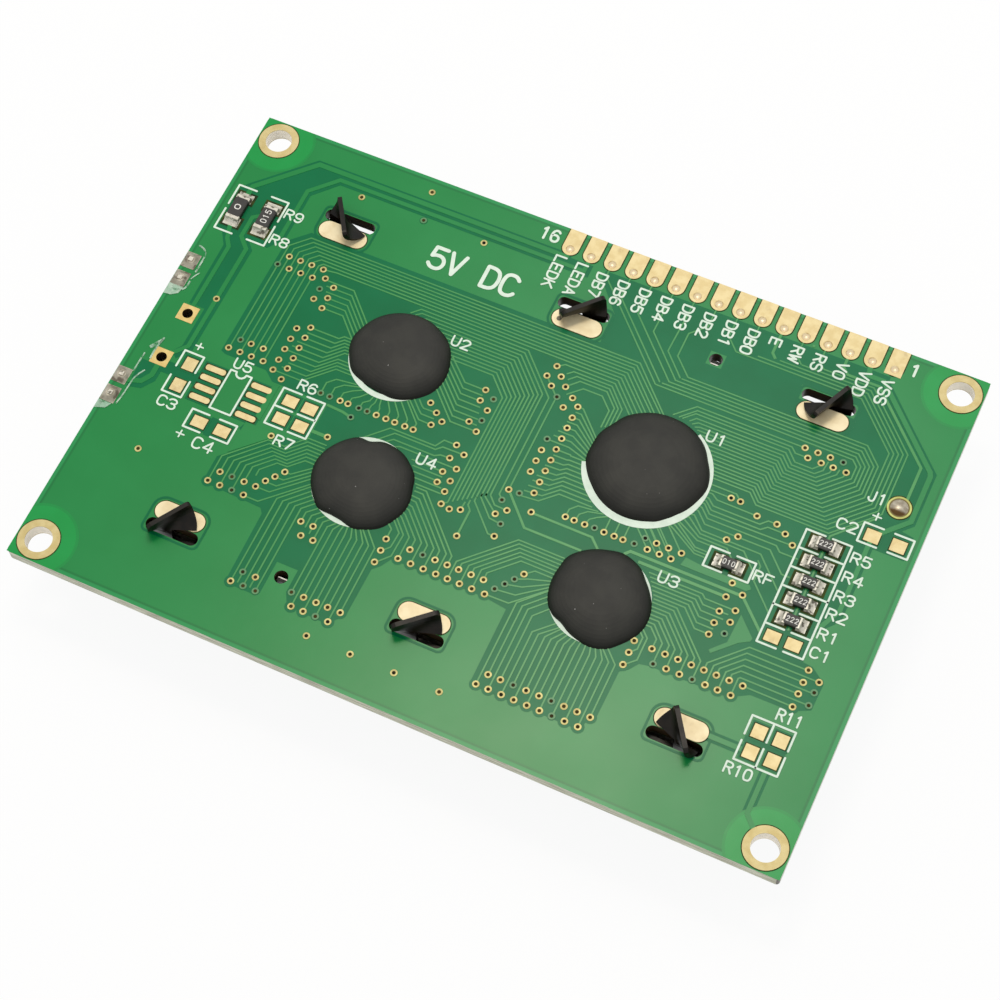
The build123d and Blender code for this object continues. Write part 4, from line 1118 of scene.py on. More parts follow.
@dataclass(frozen=True)
class CopperLayer:
    """What the etched copper shows through the solder mask, and the plated vias."""

    via_outer: float = 0.385
    via_inner: float = 0.2
    via_clearance: float = 0.47
    row_clearance: float = 0.7
    hole_halo: float = 4.25
    mask_gap: float = 0.11
    hole_pad: float = 2.2
    hole_gap: float = 0.2
    lit_halo_rim: float = 0.3
    hole_sides: int = 48
    outer_rows: float = 12.0
    part_gap: float = 0.3
    solder_gap: Point = (0.3, 0.24)
    jumper_gap: Point = (1.25, 1.42)
    slot_lap: float = 0.03
    wide_trace: float = 0.4

    def open_vias(self) -> list[Point]:
        """Centres of the vias that show gold and stand in a gap of the copper."""
        rows = [(x, y) for y, places in VIA_ROWS for x in places]
        columns = [(x, y) for x, places in VIA_COLUMNS for y in places]
        return rows + columns + list(LONE_VIAS)

    def build(self, shelf: FinishShelf) -> None:
        """Makes every copper piece."""
        self._bare(shelf)
        self._traces(shelf)
        self._openings(shelf)
        self._vias(shelf)
        self._halos(shelf)

    def _bare(self, shelf: FinishShelf) -> None:
        """Laminate with no copper under the mask."""
        work = FlatWork(Level.BARE)
        for outline in BARE_AREAS:
            work.plate(outline)
        work.next_band()
        for centre in self.open_vias() + list(TENTED_VIAS):
            in_row = abs(centre[1]) > self.outer_rows and centre not in LONE_VIAS + TENTED_VIAS
            work.disc(centre, self.row_clearance if in_row else self.via_clearance)
        work.next_band()
        for name in ("bare_pads", "resistor_pads"):
            for plan in islands(name):
                work.box(*grown(plan, (self.part_gap, self.part_gap)))
        work.next_band()
        for left, right, bottom, top in islands("ground_pads"):
            self._moat(work, (left + right) / 2, 1 if bottom > 0 else -1)
        work.clip_to_board()
        work.finish("bare_laminate", shelf.material(BARE), "board_green")

    @staticmethod
    def _moat(work: FlatWork, centre: float, side: int) -> None:
        """Adds the gap in the copper round one slot and its ground pad."""
        inner, outer, reach, width = 17.62, 21.98, 3.28, 0.26
        pad_bend, slot_bend = 1.35, 0.6
        corners = (
            arc((-reach + pad_bend, inner + pad_bend), pad_bend, 180, 270)
            + arc((reach - pad_bend, inner + pad_bend), pad_bend, 270, 360)
            + arc((reach - slot_bend, outer - slot_bend), slot_bend, 0, 90)
            + arc((-reach + slot_bend, outer - slot_bend), slot_bend, 90, 180)
        )
        work.ribbon([(centre + x, side * y) for x, y in corners], width, closed=True)

    def _traces(self, shelf: FinishShelf) -> None:
        """Traces that stand a little proud under the mask."""
        work = FlatWork(Level.TRACE)
        wide = FlatWork(Level.ISLAND)
        for outline in COPPER_ISLANDS:
            wide.plate(outline)
        bundles = (
            *POWER_TRACES, *LEFT_BUS, *CENTRE_BUS, *HEADER_FAN,
            *UPPER_LEFT_CHIP, *LOWER_LEFT_CHIP, *UPPER_RIGHT_CHIP, *LOWER_RIGHT_CHIP,
        )
        for bundle in bundles:
            layer = wide if bundle.width > self.wide_trace else work
            for path in bundle.paths():
                layer.ribbon(path, bundle.width)
        work.finish("traces", shelf.material(TRACE), "board_green")
        wide.finish("wide_copper", shelf.material(MASK), "board_green")

    def _openings(self, shelf: FinishShelf) -> None:
        """The dark gap between each gold pad and the edge of the solder mask, also painted shade round the
        pads.
        """
        work = FlatWork(Level.OPENING_AND_SHADE)
        gap = self.mask_gap
        for name, margin in (("bare_pads", (gap, gap)), ("resistor_pads", self.solder_gap)):
            for plan in islands(name):
                work.box(*grown(plan, margin))
        for centre in CORNER_HOLES:
            work.ring(centre, self.hole_pad, self.hole_pad + self.hole_gap, self.hole_sides)
        work.ring(JUMPER_CENTRE, *self.jumper_gap, 32)
        for plan in islands("ground_pads"):
            self._ground_opening(work, plan)
        for plan in islands("connector_pads"):
            self._connector_opening(work, plan)
        work.clip_to_board()
        work.finish("mask_gaps_and_shade", shelf.material(OPENING_AND_SHADE), "board_green")

    def _ground_opening(self, work: FlatWork, plan: Plan) -> None:
        """Adds the gap round a ground pad, cut straight just inside its slot."""
        left, right, bottom, top = plan
        side = 1 if bottom > 0 else -1
        inner, outer = sorted((abs(bottom), abs(top)))
        half = (outer - inner) / 2
        radius = half + self.mask_gap
        outline = arc((left + half, 0), radius, 90, 270, 12) + arc((right - half, 0), radius, -90, 90, 12)
        middle = (inner + outer) / 2
        work.plate([(x, side * (middle + min(y, half + self.slot_lap))) for x, y in outline])

    def _connector_opening(self, work: FlatWork, plan: Plan) -> None:
        """Adds the gap round a connector pad, which is open at the board's edge."""
        left, right, bottom, top = plan
        half = (right - left) / 2
        middle = (left + right) / 2
        round_end = arc((middle, bottom + half), half, 180, 360, 12)
        work.ribbon([(middle - half, top), *round_end, (middle + half, top)], 2 * self.mask_gap)

    def _vias(self, shelf: FinishShelf) -> None:
        """Plated holes between the two copper sides, each with a dark disc of painted shade for its hole.
        """
        rings = FlatWork(Level.RING)
        tented = FlatWork(Level.RING)
        holes = FlatWork(Level.HOLE)
        for centre in self.open_vias() + list(POUR_VIAS):
            rings.ring(centre, self.via_inner, self.via_outer, 14)
            holes.disc(centre, self.via_inner + 0.01, 8)
        for centre in TENTED_VIAS:
            tented.ring(centre, self.via_inner, self.via_outer, 12)
            holes.disc(centre, self.via_inner, 8)
        rings.finish("via_rings", shelf.material(VIA_GOLD), "gold_plating")
        tented.finish("tented_vias", shelf.material(TENTED), "board_green")
        holes.finish("via_hole_shades", shelf.material(HOLE))

    def _halos(self, shelf: FinishShelf) -> None:
        """Bare laminate round the corner holes, painted bright for the floor's light shining up through it.
        """
        rim = self.hole_halo - self.lit_halo_rim
        for name, finish, inner, outer in (
            ("corner_halos", HALO, self.hole_pad, rim),
            ("corner_halo_rims", HALO_RIM, rim, self.hole_halo),
        ):
            work = FlatWork(Level.HALO)
            for centre in CORNER_HOLES:
                work.ring(centre, inner, outer, self.hole_sides)
            work.clip_to_board()
            work.finish(name, shelf.material(finish), "board_green")


def arc(centre: Point, radius: float, start: float, end: float, steps: int = 6) -> list[Point]:
    """Points along an arc, with its angles in degrees."""
    x, y = centre
    angles = [math.radians(start + (end - start) * step / steps) for step in range(steps + 1)]
    return [(x + radius * math.cos(angle), y + radius * math.sin(angle)) for angle in angles]


def grown(plan: Plan, margin: Point) -> Plan:
    """A plan rectangle with a margin added to its sides and to its ends."""
    left, right, bottom, top = plan
    return left - margin[0], right + margin[0], bottom - margin[1], top + margin[1]


def islands(name: str) -> list[Plan]:
    """The plan rectangles of the loose parts of a CAD node, in mm, upper side only, from left to right."""
    mesh = bmesh.new()
    mesh.from_mesh(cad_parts[name].data)
    bmesh.ops.remove_doubles(mesh, verts=mesh.verts, dist=1e-7)
    left = set(mesh.verts)
    found = []
    while left:
        stack = [left.pop()]
        group = [stack[0]]
        while stack:
            for edge in stack.pop().link_edges:
                for vert in edge.verts:
                    if vert in left:
                        left.remove(vert)
                        stack.append(vert)
                        group.append(vert)
        xs = [vert.co.x / MM for vert in group]
        ys = [vert.co.y / MM for vert in group]
        if max(vert.co.z for vert in group) / MM > BOARD_TOP - 1:
            found.append((min(xs), max(xs), min(ys), max(ys)))
    mesh.free()
    return sorted(found)


GLYPHS: dict[str, tuple[Path2D, ...]] = {
    "0": ([(1, 0), (3, 0), (4, 1.2), (4, 4.8), (3, 6), (1, 6), (0, 4.8), (0, 1.2), (1, 0)],),
    "1": ([(0.9, 4.9), (2.1, 6), (2.1, 0)],),
    "2": ([(0, 4.8), (1, 6), (3, 6), (4, 4.9), (4, 3.9), (0, 0), (4, 0)],),
    "3": ([(0, 5), (1, 6), (3, 6), (4, 5), (4, 4), (3, 3.2), (1.5, 3.2)],
          [(3, 3.2), (4, 2.3), (4, 1), (3, 0), (1, 0), (0, 1)]),
    "4": ([(3, 0), (3, 6)], [(3, 6), (0, 1.8), (4.3, 1.8)]),
    "5": ([(3.7, 6), (0.4, 6), (0.1, 3.3), (1.2, 3.8), (2.9, 3.8), (4, 2.7), (4, 1.1), (3, 0), (1, 0),
           (0, 1)],),
    "6": ([(3.6, 5.2), (2.9, 6), (1.2, 6), (0, 4.6), (0, 1.2), (1, 0), (3, 0), (4, 1.1), (4, 2.4),
           (3, 3.5), (1, 3.5), (0, 2.6)],),
    "7": ([(0, 6), (4, 6), (1.6, 0)],),
    "8": ([(3, 3.2), (4, 4), (4, 5), (3, 6), (1, 6), (0, 5), (0, 4), (1, 3.2), (3, 3.2), (4, 2.3), (4, 1),
           (3, 0), (1, 0), (0, 1), (0, 2.3), (1, 3.2)],),
    "9": ([(0.4, 0.8), (1.1, 0), (2.8, 0), (4, 1.4), (4, 4.8), (3, 6), (1, 6), (0, 4.9), (0, 3.6),
           (1, 2.5), (3, 2.5), (4, 3.4)],),
    "A": ([(0, 0), (2, 6), (4, 0)], [(0.7, 2), (3.3, 2)]),
    "B": ([(0, 0), (0, 6), (2.9, 6), (3.8, 5.2), (3.8, 4), (2.9, 3.2), (0, 3.2)],
          [(2.9, 3.2), (4, 2.3), (4, 0.9), (3, 0), (0, 0)]),
    "C": ([(4, 1), (3, 0), (1, 0), (0, 1.2), (0, 4.8), (1, 6), (3, 6), (4, 5)],),
    "D": ([(0, 0), (0, 6), (2.6, 6), (4, 4.6), (4, 1.4), (2.6, 0), (0, 0)],),
    "E": ([(4, 0), (0, 0), (0, 6), (4, 6)], [(0, 3.1), (3.2, 3.1)]),
    "F": ([(0, 0), (0, 6), (4, 6)], [(0, 3.1), (3.2, 3.1)]),
    "J": ([(3.4, 6), (3.4, 1.1), (2.5, 0), (1, 0), (0.1, 1.1), (0.1, 1.7)],),
    "K": ([(0, 0), (0, 6)], [(4, 6), (0, 2.2)], [(1.4, 3.5), (4, 0)]),
    "L": ([(0, 6), (0, 0), (3.8, 0)],),
    "R": ([(0, 0), (0, 6), (3, 6), (4, 5.1), (4, 3.9), (3, 3), (0, 3)], [(2, 3), (4, 0)]),
    "S": ([(0, 1), (1, 0), (3, 0), (4, 1), (4, 2.3), (3, 3.1), (1, 3.1), (0, 3.9), (0, 5), (1, 6), (3, 6),
           (4, 5)],),
    "U": ([(0, 6), (0, 1.2), (1, 0), (3, 0), (4, 1.2), (4, 6)],),
    "V": ([(0, 6), (2, 0), (4, 6)],),
    "W": ([(0, 6), (0.9, 0), (2, 4.4), (3.1, 0), (4, 6)],),
    "+": ([(2, 0.8), (2, 5.2)], [(-0.2, 3), (4.2, 3)]),
}


BLUNT_CORNER = 1.1
CORNER_CUT = 0.27


def rounded(path: Path2D) -> list[Point]:
    """A pen path with its blunt corners cut twice, which leaves the sharp ones as they are."""
    for _ in range(2):
        line = [Vector(point) for point in path]
        cut = [line[0]]
        for before, corner, after in zip(line, line[1:], line[2:]):
            if (corner - before).angle(after - corner) < BLUNT_CORNER:
                cut += [corner.lerp(before, CORNER_CUT), corner.lerp(after, CORNER_CUT)]
            else:
                cut.append(corner)
        path = [tuple(point) for point in cut + [line[-1]]]
    return list(path)


class Reading(Enum):
    """The way a label's line of text runs on the board."""

    ACROSS = (1.0, 0.0)
    DOWN = (0.0, -1.0)
    UP = (0.0, 1.0)


@dataclass(frozen=True)
class Label:
    """A word in stroke letters. The place is its lower left corner as it is read.

    Spacing is in sixths of a letter's height, like the glyphs' own points.
    """

    text: str
    place: Point
    height: float = 1.35
    pen: float = 0.2
    reading: Reading = Reading.ACROSS
    spacing: float = 5.6
    narrow: float = 1.1

    def draw(self, work: FlatWork) -> None:
        """Draws the word on a flat piece."""
        along = Vector(self.reading.value)
        upward = Vector((-along.y, along.x))
        scale = (self.height - self.pen) / 6
        start = Vector(self.place) + (along + upward) * self.pen / 2
        for index, letter in enumerate(self.text):
            for path in map(rounded, GLYPHS.get(letter, ())):
                points = [
                    start + along * (index * self.spacing + x) * scale * self.narrow + upward * y * scale
                    for x, y in path
                ]
                work.stroke([tuple(point) for point in points], self.pen)


PIN_NAMES = (
    "VSS", "VDD", "V0", "RS", "RW", "E", "DB0", "DB1", "DB2", "DB3", "DB4", "DB5", "DB6", "DB7", "LEDA",
    "LEDK",
)

LABELS = (
    Label("16", (-8.5, 27.5), 1.75, 0.28, narrow=0.88),
    Label("1", (35.0, 27.4), 1.65, 0.28),
    Label("5V DC", (-18.5, 19.0), 3.1, 0.44, spacing=5.2, narrow=0.94),
    Label("J1", (36.35, 11.7), 1.4, narrow=0.95),
    Label("R9", (-35.8, 18.4)), Label("R8", (-35.8, 14.8)),
    Label("R5", (37.3, 4.3)), Label("R4", (37.3, 1.95)), Label("R3", (37.3, -0.4)),
    Label("R2", (37.3, -2.56)), Label("R1", (37.3, -4.96)), Label("C1", (37.3, -7.15)),
    Label("RF", (28.9, -1.56), 1.3), Label("C2", (34.5, 7.44), 1.4), Label("+", (37.6, 9.7), 1.3, 0.17),
    Label("C3", (-37.6, -8.3), 1.4), Label("+", (-36.95, -0.7), 1.25, 0.17),
    Label("C4", (-31.65, -11.4), 1.5), Label("+", (-33.8, -11.05), 1.3, 0.17),
    Label("U5", (-32.06, -0.94)), Label("R6", (-24.4, -0.5)), Label("R7", (-23.7, -7.56)),
    Label("R11", (36.8, -14.8), 1.4, narrow=0.85), Label("R10", (34.1, -22.0), 1.35, narrow=0.95),
    Label("U2", (-11.6, 11.1)), Label("U1", (18.2, 11.4), 1.4), Label("U4", (-8.8, -3.45), 1.4),
    Label("U3", (20.0, -5.7), 1.4),
)


def bracket(mouth: float, back: float, start: float, end: float) -> list[Point]:
    """Three sides of a box that is open to its left or right."""
    return [(mouth, start), (back, start), (back, end), (mouth, end)]


def staple(mouth: float, back: float, start: float, end: float) -> list[Point]:
    """Three sides of a box that is open at its top or bottom."""
    return [(y, x) for x, y in bracket(mouth, back, start, end)]


BRACKETS: tuple[Path2D, ...] = (
    [(-40.1, 20.4), (-42.3, 20.4), (-42.3, 17.7)], [(-42.3, 17.0), (-42.3, 14.25), (-40.1, 14.25)],
    [(-38.2, 20.4), (-36.05, 20.4), (-36.05, 17.7)], [(-36.05, 17.0), (-36.05, 14.25), (-38.2, 14.25)],
    bracket(34.06, 31.96, 6.1, -7.66), bracket(34.86, 36.98, 6.1, -7.66),
    bracket(25.76, 23.7, 0.3, -2.06), bracket(26.6, 28.7, 0.3, -2.06),
    bracket(39.26, 37.16, 9.26, 6.96), bracket(40.5, 42.64, 9.26, 6.96),
    staple(-3.2, -1.1, -37.7, -35.34), staple(-4.4, -6.5, -37.7, -35.34),
    bracket(-31.44, -33.5, -7.16, -9.46), bracket(-30.16, -28.06, -7.16, -9.46),
    bracket(-23.46, -25.64, -0.9, -5.56), bracket(-22.8, -20.66, -0.9, -5.56),
    staple(-17.4, -15.25, 34.65, 39.3), staple(-18.15, -20.3, 34.65, 39.3),
    [(37.0, -15.25), (37.0, -17.4)], [(37.0, -18.15), (37.0, -20.3)],
    [(-25.64, -3.22), (-23.46, -3.22)], [(-22.8, -3.22), (-20.66, -3.22)],
)

CHIP_OUTLINE: Path2D = (
    (-31.25, -1.24), (-31.94, -1.24), (-31.94, -6.3), (-29.4, -6.3), (-29.4, -1.24), (-30.05, -1.24),
)
CHIP_NOTCH: Point = (-30.65, -1.24)


@dataclass(frozen=True)
class ResistorMark:
    """Half the size of a chip resistor's black overcoat, and its value mark, placed from its middle."""

    half: Point
    mark: Label


def small_mark(text: str) -> ResistorMark:
    """The overcoat and mark of one of the small chip resistors."""
    label = Label(text, (-0.66, -0.31), 0.62, 0.085, spacing=6.7, narrow=0.8)
    return ResistorMark((0.76, 0.54), label)


RESISTOR_MARKS: dict[str, ResistorMark] = {
    **{name: small_mark("222") for name in ("r5", "r4", "r3", "r2", "r1")},
    "rf": small_mark("010"),
    "r9": ResistorMark((0.66, 1.2), Label("0", (-0.38, 0.32), 0.74, 0.12, Reading.DOWN, narrow=1.4)),
    "r8": ResistorMark((0.66, 1.2), Label("015", (0.38, -0.8), 0.76, 0.1, Reading.UP, 6.6, 0.88)),
}


@dataclass(frozen=True)
class PrintedArc:
    """Part of the white circle that marks where the resin is poured."""

    centre: Point
    radius: float
    start: float
    end: float
    width: float = 0.6

    def draw(self, work: FlatWork) -> None:
        """Draws the arc as a ribbon."""
        steps = max(4, round((self.end - self.start) / 6))
        work.ribbon(arc(self.centre, self.radius, self.start, self.end, steps), self.width)


ARCS = (
    PrintedArc((14.09, 5.85), 6.57, 196, 420, 0.8),
    PrintedArc((-15.95, 7.45), 5.15, 0, 360),
    PrintedArc((-12.85, -7.75), 5.08, 0, 360),
    PrintedArc((15.52, -9.73), 5.03, 0, 360),
)


@dataclass(frozen=True)
class PrintLayer:
    """White print on the board and the marks on the chip resistors."""

    label_pitch: float = 2.562
    first_label: float = 33.45
    label_top: float = 26.08
    long_label_rise: float = 0.25
    label_height: float = 1.42
    bracket_pen: float = 0.22
    divider_heights: tuple[float, ...] = (3.84, 1.52, -0.8, -3.12, -5.4)
    divider_columns: tuple[Point, ...] = ((31.96, 34.06), (34.86, 36.98))
    coat_lift: float = 0.001
    mark_lift: float = 0.014
    coat_thickness: float = 0.012

    def build(self, shelf: FinishShelf) -> None:
        """Makes the print and the marks."""
        work = FlatWork(Level.PRINT)
        for label in LABELS:
            label.draw(work)
        for index, name in enumerate(PIN_NAMES):
            x = self.first_label - index * self.label_pitch - self.label_height / 2
            top = self.label_top + self.long_label_rise * (len(name) == 4)
            Label(name, (x, top), self.label_height, 0.22, Reading.DOWN, 5.3, 1.04).draw(work)
        for path in BRACKETS:
            work.stroke(path, self.bracket_pen)
        for y in self.divider_heights:
            for left, right in self.divider_columns:
                work.stroke([(left, y), (right, y)], self.bracket_pen)
        for path in (CHIP_OUTLINE, arc(CHIP_NOTCH, 0.6, 180, 360)):
            work.stroke(path, self.bracket_pen)
        for ring in ARCS:
            ring.draw(work)
        work.finish("white_print", shelf.material(PRINT))
        self._resistor_marks(shelf)

    def _resistor_marks(self, shelf: FinishShelf) -> None:
        """The black overcoat of the chip resistors and the value marks on it."""
        coats = FlatWork(thickness=self.coat_thickness)
        marks = FlatWork(thickness=self.coat_thickness)
        for name, look in RESISTOR_MARKS.items():
            low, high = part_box(f"resistor_{name}_body")
            x, y = ((low + high) / 2 / MM).xy
            coats.base = high.z / MM + self.coat_lift
            marks.base = high.z / MM + self.mark_lift
            coats.box(*grown((x, x, y, y), look.half))
            place = (x + look.mark.place[0], y + look.mark.place[1])
            replace(look.mark, place=place).draw(marks)
        coats.finish("resistor_overcoats", shelf.material(GLAZE))
        marks.finish("resistor_marks", shelf.material(MARK))


@dataclass(frozen=True)
class ResinCap:
    """A drop of resin over a bonded chip, with the uneven edge that it set with.

    The reaches are how far it ran from its centre, every 15 degrees round from +X.
    """

    node: str
    centre: Point
    reaches: tuple[float, ...]
    height: float = 1.6
    shoulder: Point = (0.9, 0.85)
    flat_top: Point = (0.55, 1.0)
    rings: int = 12
    sides: int = 120

    def reach(self, angle: float) -> float:
        """How far the resin ran at an angle in radians, on a smooth line through the reaches."""
        count = len(self.reaches)
        step = angle / math.tau * count % count
        near = int(step)
        part = step - near
        a, b, c, d = (self.reaches[(near + offset) % count] for offset in (-1, 0, 1, 2))
        bend = 2 * a - 5 * b + 4 * c - d + part * (3 * (b - c) + d - a)
        return b + 0.5 * part * (c - a + part * bend)

    def profile(self, part: float) -> Point:
        """Shares of the reach and of the height, from the foot at 0 to the crown at 1."""
        foot = (1 - part) ** 3
        low = 3 * (1 - part) ** 2 * part
        high = 3 * (1 - part) * part**2
        share = foot + low * self.shoulder[0] + high * self.flat_top[0]
        return share, low * self.shoulder[1] + high * self.flat_top[1] + part**3

    def build(self, shelf: FinishShelf) -> None:
        """Raises the drop ring by ring from its foot to its crown."""
        mesh = bmesh.new()
        bmesh.ops.create_circle(mesh, cap_ends=True, segments=self.sides, radius=1.0)
        rim = mesh.edges[:]
        for edge in rim:
            edge.smooth = False
        before = (1.0, 0.0)
        for ring in range(self.rings):
            made = bmesh.ops.extrude_edge_only(mesh, edges=rim)["geom"]
            verts = [item for item in made if isinstance(item, bmesh.types.BMVert)]
            rim = [item for item in made if isinstance(item, bmesh.types.BMEdge) and item.is_boundary]
            share, rise = self.profile((ring + 1) / self.rings)
            shrink = share / before[0]
            bmesh.ops.scale(mesh, verts=verts, vec=(shrink, shrink, 1.0))
            bmesh.ops.translate(mesh, verts=verts, vec=(0, 0, rise - before[1]))
            before = (share, rise)
        bmesh.ops.remove_doubles(mesh, verts=mesh.verts, dist=1e-4)
        self._run_out(mesh)
        bmesh.ops.recalc_face_normals(mesh, faces=mesh.faces)
        bmesh.ops.translate(mesh, verts=mesh.verts, vec=(*self.centre, BOARD_TOP))
        bmesh.ops.scale(mesh, verts=mesh.verts, vec=(MM, MM, MM))
        name = self.node.replace("chip_cap", "resin_drop")
        piece = made_piece(mesh, name, shelf.material(RESIN), smooth=True)
        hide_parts(self.node)

    def _run_out(self, mesh: bmesh.types.BMesh) -> None:
        """Moves the foot out to its uneven edge and less and less of the drop above it."""
        mean = sum(self.reaches) / len(self.reaches)
        for vert in mesh.verts:
            share = math.hypot(vert.co.x, vert.co.y)
            uneven = self.reach(math.atan2(vert.co.y, vert.co.x)) - mean
            reach = mean + uneven * share**3
            vert.co = (vert.co.x * reach, vert.co.y * reach, vert.co.z * self.height)


RESIN_CAPS = (
    ResinCap(
        "chip_cap_u1",
        (14.15, 6.15),
        (6.66, 6.5, 6.3, 6.4, 6.44, 6.46, 6.44, 6.5, 6.52, 6.56, 6.42, 6.6,
         6.6, 6.76, 6.6, 6.46, 6.48, 6.46, 6.44, 6.4, 6.5, 6.32, 6.42, 6.5),
    ),
    ResinCap(
        "chip_cap_u2",
        (-15.8, 7.85),
        (5.65, 5.46, 5.4, 5.3, 5.16, 5.15, 5.14, 5.18, 5.27, 5.4, 5.53, 5.64,
         5.84, 5.8, 5.72, 5.7, 5.36, 5.17, 5.2, 5.5, 5.68, 5.74, 5.86, 5.82),
    ),
    ResinCap(
        "chip_cap_u3",
        (15.55, -9.65),
        (5.52, 5.34, 5.13, 5.05, 5.28, 5.4, 5.5, 5.42, 5.5, 5.62, 5.72, 5.48,
         5.42, 5.42, 5.46, 5.36, 5.0, 5.18, 5.42, 5.7, 5.8, 5.65, 5.66, 5.66),
    ),
    ResinCap(
        "chip_cap_u4",
        (-12.85, -7.65),
        (5.7, 5.5, 5.6, 5.45, 5.4, 5.28, 5.12, 4.76, 5.3, 5.38, 5.46, 5.56,
         5.6, 5.52, 5.46, 5.46, 5.5, 5.06, 5.06, 5.56, 5.7, 5.88, 5.82, 5.84),
    ),
)


@dataclass(frozen=True)
class Residue:
    """What soldering left on the board, and painted shadows of the bezel tabs on the gold pads."""

    rims: tuple[tuple[Path2D, float], ...] = (
        ([(-42.6, 11.4), (-42.0, 11.25), (-41.6, 10.9), (-41.42, 10.4), (-41.4, 9.6), (-41.38, 8.7),
          (-41.4, 8.2)], 0.2),
        ([(-40.95, 8.2), (-41.25, 7.7), (-41.45, 7.2)], 0.14),
        ([(-41.42, 6.8), (-41.4, 6.0), (-41.7, 5.6)], 0.2),
        ([(-40.55, -0.7), (-40.75, -1.7), (-40.8, -2.6), (-40.75, -3.5)], 0.2),
        ([(-40.6, -5.1), (-41.2, -6.2), (-41.25, -7.6), (-41.3, -8.9), (-41.45, -9.9)], 0.16),
        ([(-41.62, -3.2), (-41.66, -4.2), (-41.68, -5.6)], 0.16),
    )
    films: tuple[Path2D, ...] = (
        [(-43.45, 5.85), (-41.75, 5.85), (-41.9, 5.0), (-42.6, 4.5), (-43.45, 4.4)],
        [(-41.6, -2.2), (-40.75, -0.9), (-40.5, -0.8), (-40.6, -1.5), (-41.3, -2.4)],
        [(-43.45, -10.2), (-41.9, -10.2), (-42.3, -10.9), (-43.45, -11.3)],
    )
    # painted shadows of the bezel tabs on the ground pads: centre x, y and radius
    tab_shadows: tuple[tuple[float, float, float], ...] = (
        (26.7, -19.75, 0.45), (27.1, 19.9, 0.35), (-27.7, -19.75, 0.4), (1.6, -19.75, 0.35),
        (-27.4, -19.3, 0.25), (27.6, -18.6, 0.3), (-2.0, 18.9, 0.3),
    )
    tab_shadow_height: float = 0.055
    tab_shadow_thickness: float = 0.01

    def build(self, shelf: FinishShelf) -> None:
        """Makes the flux film and the painted tab shadows."""
        film = FlatWork(Level.CRUST)
        for outline in self.films:
            film.plate(outline)
        for path, width in self.rims:
            film.stroke(rounded(path), width)
        film.finish("flux_film", shelf.material(FLUX))
        marks = FlatWork(base=BOARD_TOP + self.tab_shadow_height, thickness=self.tab_shadow_thickness)
        for x, y, radius in self.tab_shadows:
            marks.disc((x, y), radius)
        marks.finish("painted_tab_shadows", shelf.material(TAB_SHADOW))


@dataclass(frozen=True)
class DisplayFace:
    """The unlit character cells that show faintly through the front film."""

    columns: int = 16
    rows: int = 4
    cell: Point = (2.95, 4.75)
    pitch: Point = (3.55, 5.35)
    drop: float = 0.012
    thickness: float = 0.01

    def build(self, shelf: FinishShelf) -> None:
        """Makes the cells as one thin piece on the front film."""
        low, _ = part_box("front_polarizer")
        work = FlatWork(base=low.z / MM - self.drop, thickness=self.thickness)
        half = (self.cell[0] / 2, self.cell[1] / 2)
        for column in range(self.columns):
            for row in range(self.rows):
                x = (column - (self.columns - 1) / 2) * self.pitch[0]
                y = (row - (self.rows - 1) / 2) * self.pitch[1]
                work.box(*grown((x, x, y, y), half))
        work.finish("display_cells", shelf.material(SEGMENT), "polarizer_film")


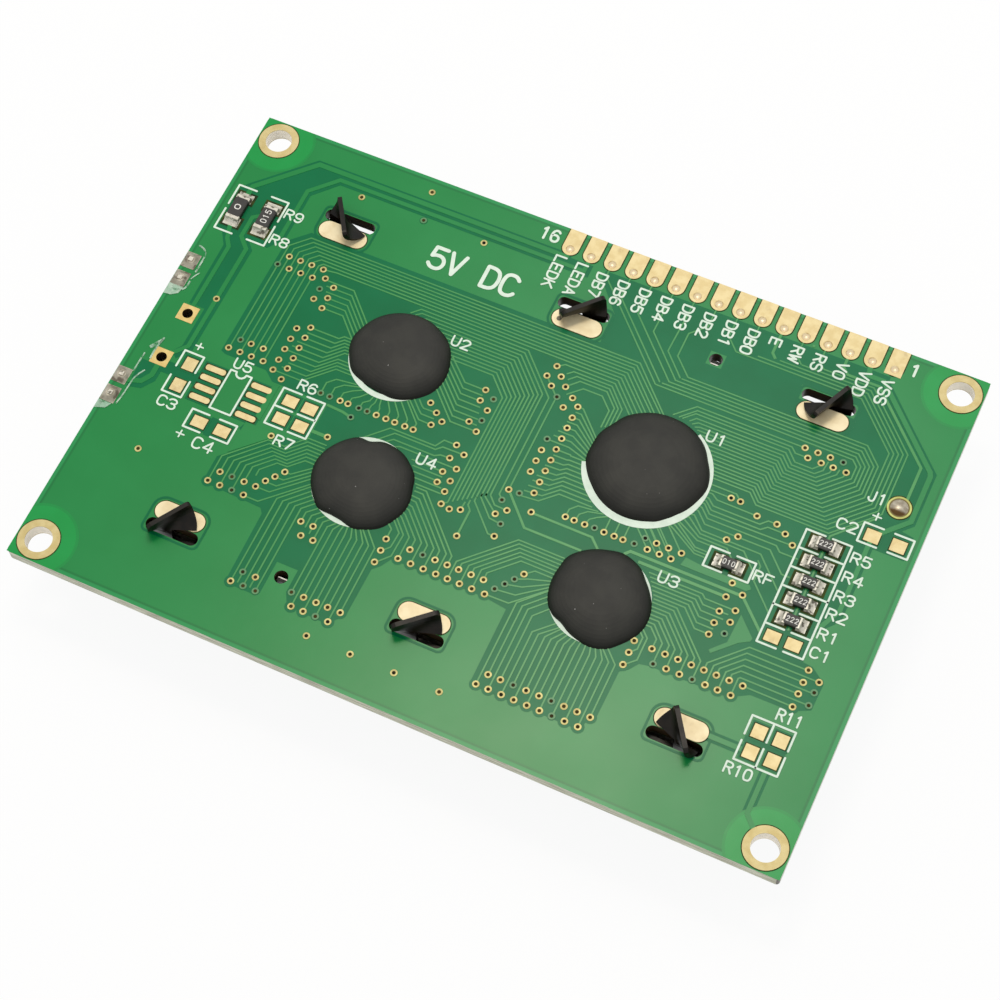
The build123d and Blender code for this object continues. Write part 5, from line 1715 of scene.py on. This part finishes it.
@dataclass(frozen=True)
class Studio:
    """The floor, the light and the camera."""

    camera_place: Tint = (0.05512, -0.09831, 0.22995)
    camera_right: Tint = (0.90576, 0.42191, -0.03989)
    camera_up: Tint = (-0.36246, 0.82000, 0.44297)
    camera_back: Tint = (0.21960, -0.38676, 0.89565)
    lens: float = 83.88
    world_level: float = 0.66
    lamps: tuple[tuple[Tint, Point, float, Tint], ...] = (
        ((-0.03, 0.15, 0.37), (0.14, 0.16), 0.3, (1.0, 1.0, 1.0)),
        ((-0.055, 0.085, 0.39), (0.11, 0.05), 0.32, (1.0, 0.88, 0.68)),
    )
    floor_size: float = 3.0
    floor_drop: float = 0.00004
    floor_glow: float = 0.92

    def build(self) -> None:
        """Sets the whole studio up."""
        self._camera()
        self._world()
        for place, size, power, colour in self.lamps:
            self._lamp(place, size, power, colour)
        self._floor()
        bpy.context.scene.view_settings.view_transform = "Standard"

    def _camera(self) -> None:
        """The camera stands where the photograph's did."""
        data = bpy.data.cameras.new("camera")
        data.lens = self.lens
        data.sensor_width = 36.0
        data.clip_start = 0.01
        camera = bpy.data.objects.new("camera", data)
        axes = (self.camera_right, self.camera_up, self.camera_back)
        camera.matrix_world = Matrix.LocRotScale(
            Vector(self.camera_place), Matrix(axes).transposed().to_quaternion(), None
        )
        bpy.context.scene.collection.objects.link(camera)
        bpy.context.scene.camera = camera

    def _world(self) -> None:
        """A soft room that looks white where the camera or a reflection sees it."""
        world = bpy.data.worlds.new("room")
        world.use_nodes = True
        room = NodeTree(world.node_tree)
        background = room.tree.nodes["Background"]
        sockets = {"Value": room.seen(), "To Min": self.world_level, "To Max": 1.0}
        level = room.node("ShaderNodeMapRange", sockets=sockets)
        room.feed(background.inputs["Color"], (1.0, 1.0, 1.0))
        room.feed(background.inputs["Strength"], level.outputs["Result"])
        bpy.context.scene.world = world

    @staticmethod
    def _lamp(place: Tint, size: Point, power: float, colour: Tint) -> None:
        """One soft box, aimed at the module.

        Args:
            place: where it hangs, in metres.
            size: its width and height in metres.
            power: its power in watts.
            colour: the colour of its light.
        """
        data = bpy.data.lights.new("soft_box", "AREA")
        data.shape = "RECTANGLE"
        data.size, data.size_y = size
        data.energy = power
        data.color = colour
        lamp = bpy.data.objects.new("soft_box", data)
        lamp.location = place
        lamp.rotation_euler = Vector(place).to_track_quat("Z", "Y").to_euler()
        bpy.context.scene.collection.objects.link(lamp)

    def _floor(self) -> None:
        """A white floor that keeps the module's shadow."""
        mesh = bmesh.new()
        bmesh.ops.create_grid(mesh, x_segments=1, y_segments=1, size=self.floor_size / 2)
        data = bpy.data.meshes.new("floor")
        mesh.to_mesh(data)
        mesh.free()
        floor = bpy.data.objects.new("floor", data)
        floor.location.z = -self.floor_drop
        bpy.context.scene.collection.objects.link(floor)
        paint = Paint("floor")
        paint.set(Base_Color=(0.93, 0.93, 0.93), Roughness=0.9)
        glow = paint.node("ShaderNodeEmission", sockets={"Strength": 1.0})
        share = paint.seen() * self.floor_glow
        sockets = {0: share, 1: paint.shader.outputs[0], 2: glow.outputs[0]}
        blend = paint.node("ShaderNodeMixShader", sockets=sockets)
        paint.tree.links.new(blend.outputs[0], paint.tree.nodes["Material Output"].inputs[0])
        data.materials.append(paint.material)
        floor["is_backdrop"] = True


def plain(bounds: Any) -> Any:
    """Bounds as plain lists of numbers."""
    if isinstance(bounds, (int, float)):
        return float(bounds)
    if isinstance(bounds, dict):
        return {key: plain(value) for key, value in bounds.items()}
    return [plain(value) for value in bounds]


def main() -> None:
    """Dresses the CAD nodes, adds the board's face and sets the studio up."""
    logging.basicConfig(level=logging.INFO, format="%(name)s: %(message)s")
    shelf = FinishShelf()
    shelf.dress_nodes()
    for layer in (CopperLayer(), PrintLayer(), *RESIN_CAPS, Residue(), DisplayFace()):
        layer.build(shelf)
    Studio().build()
    sizes = {"loaded": plain(BOUNDS_AT_LOAD), "finished": plain(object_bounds())}
    log.info("bounds %s", sizes)


if __name__ == "__main__":
    main()
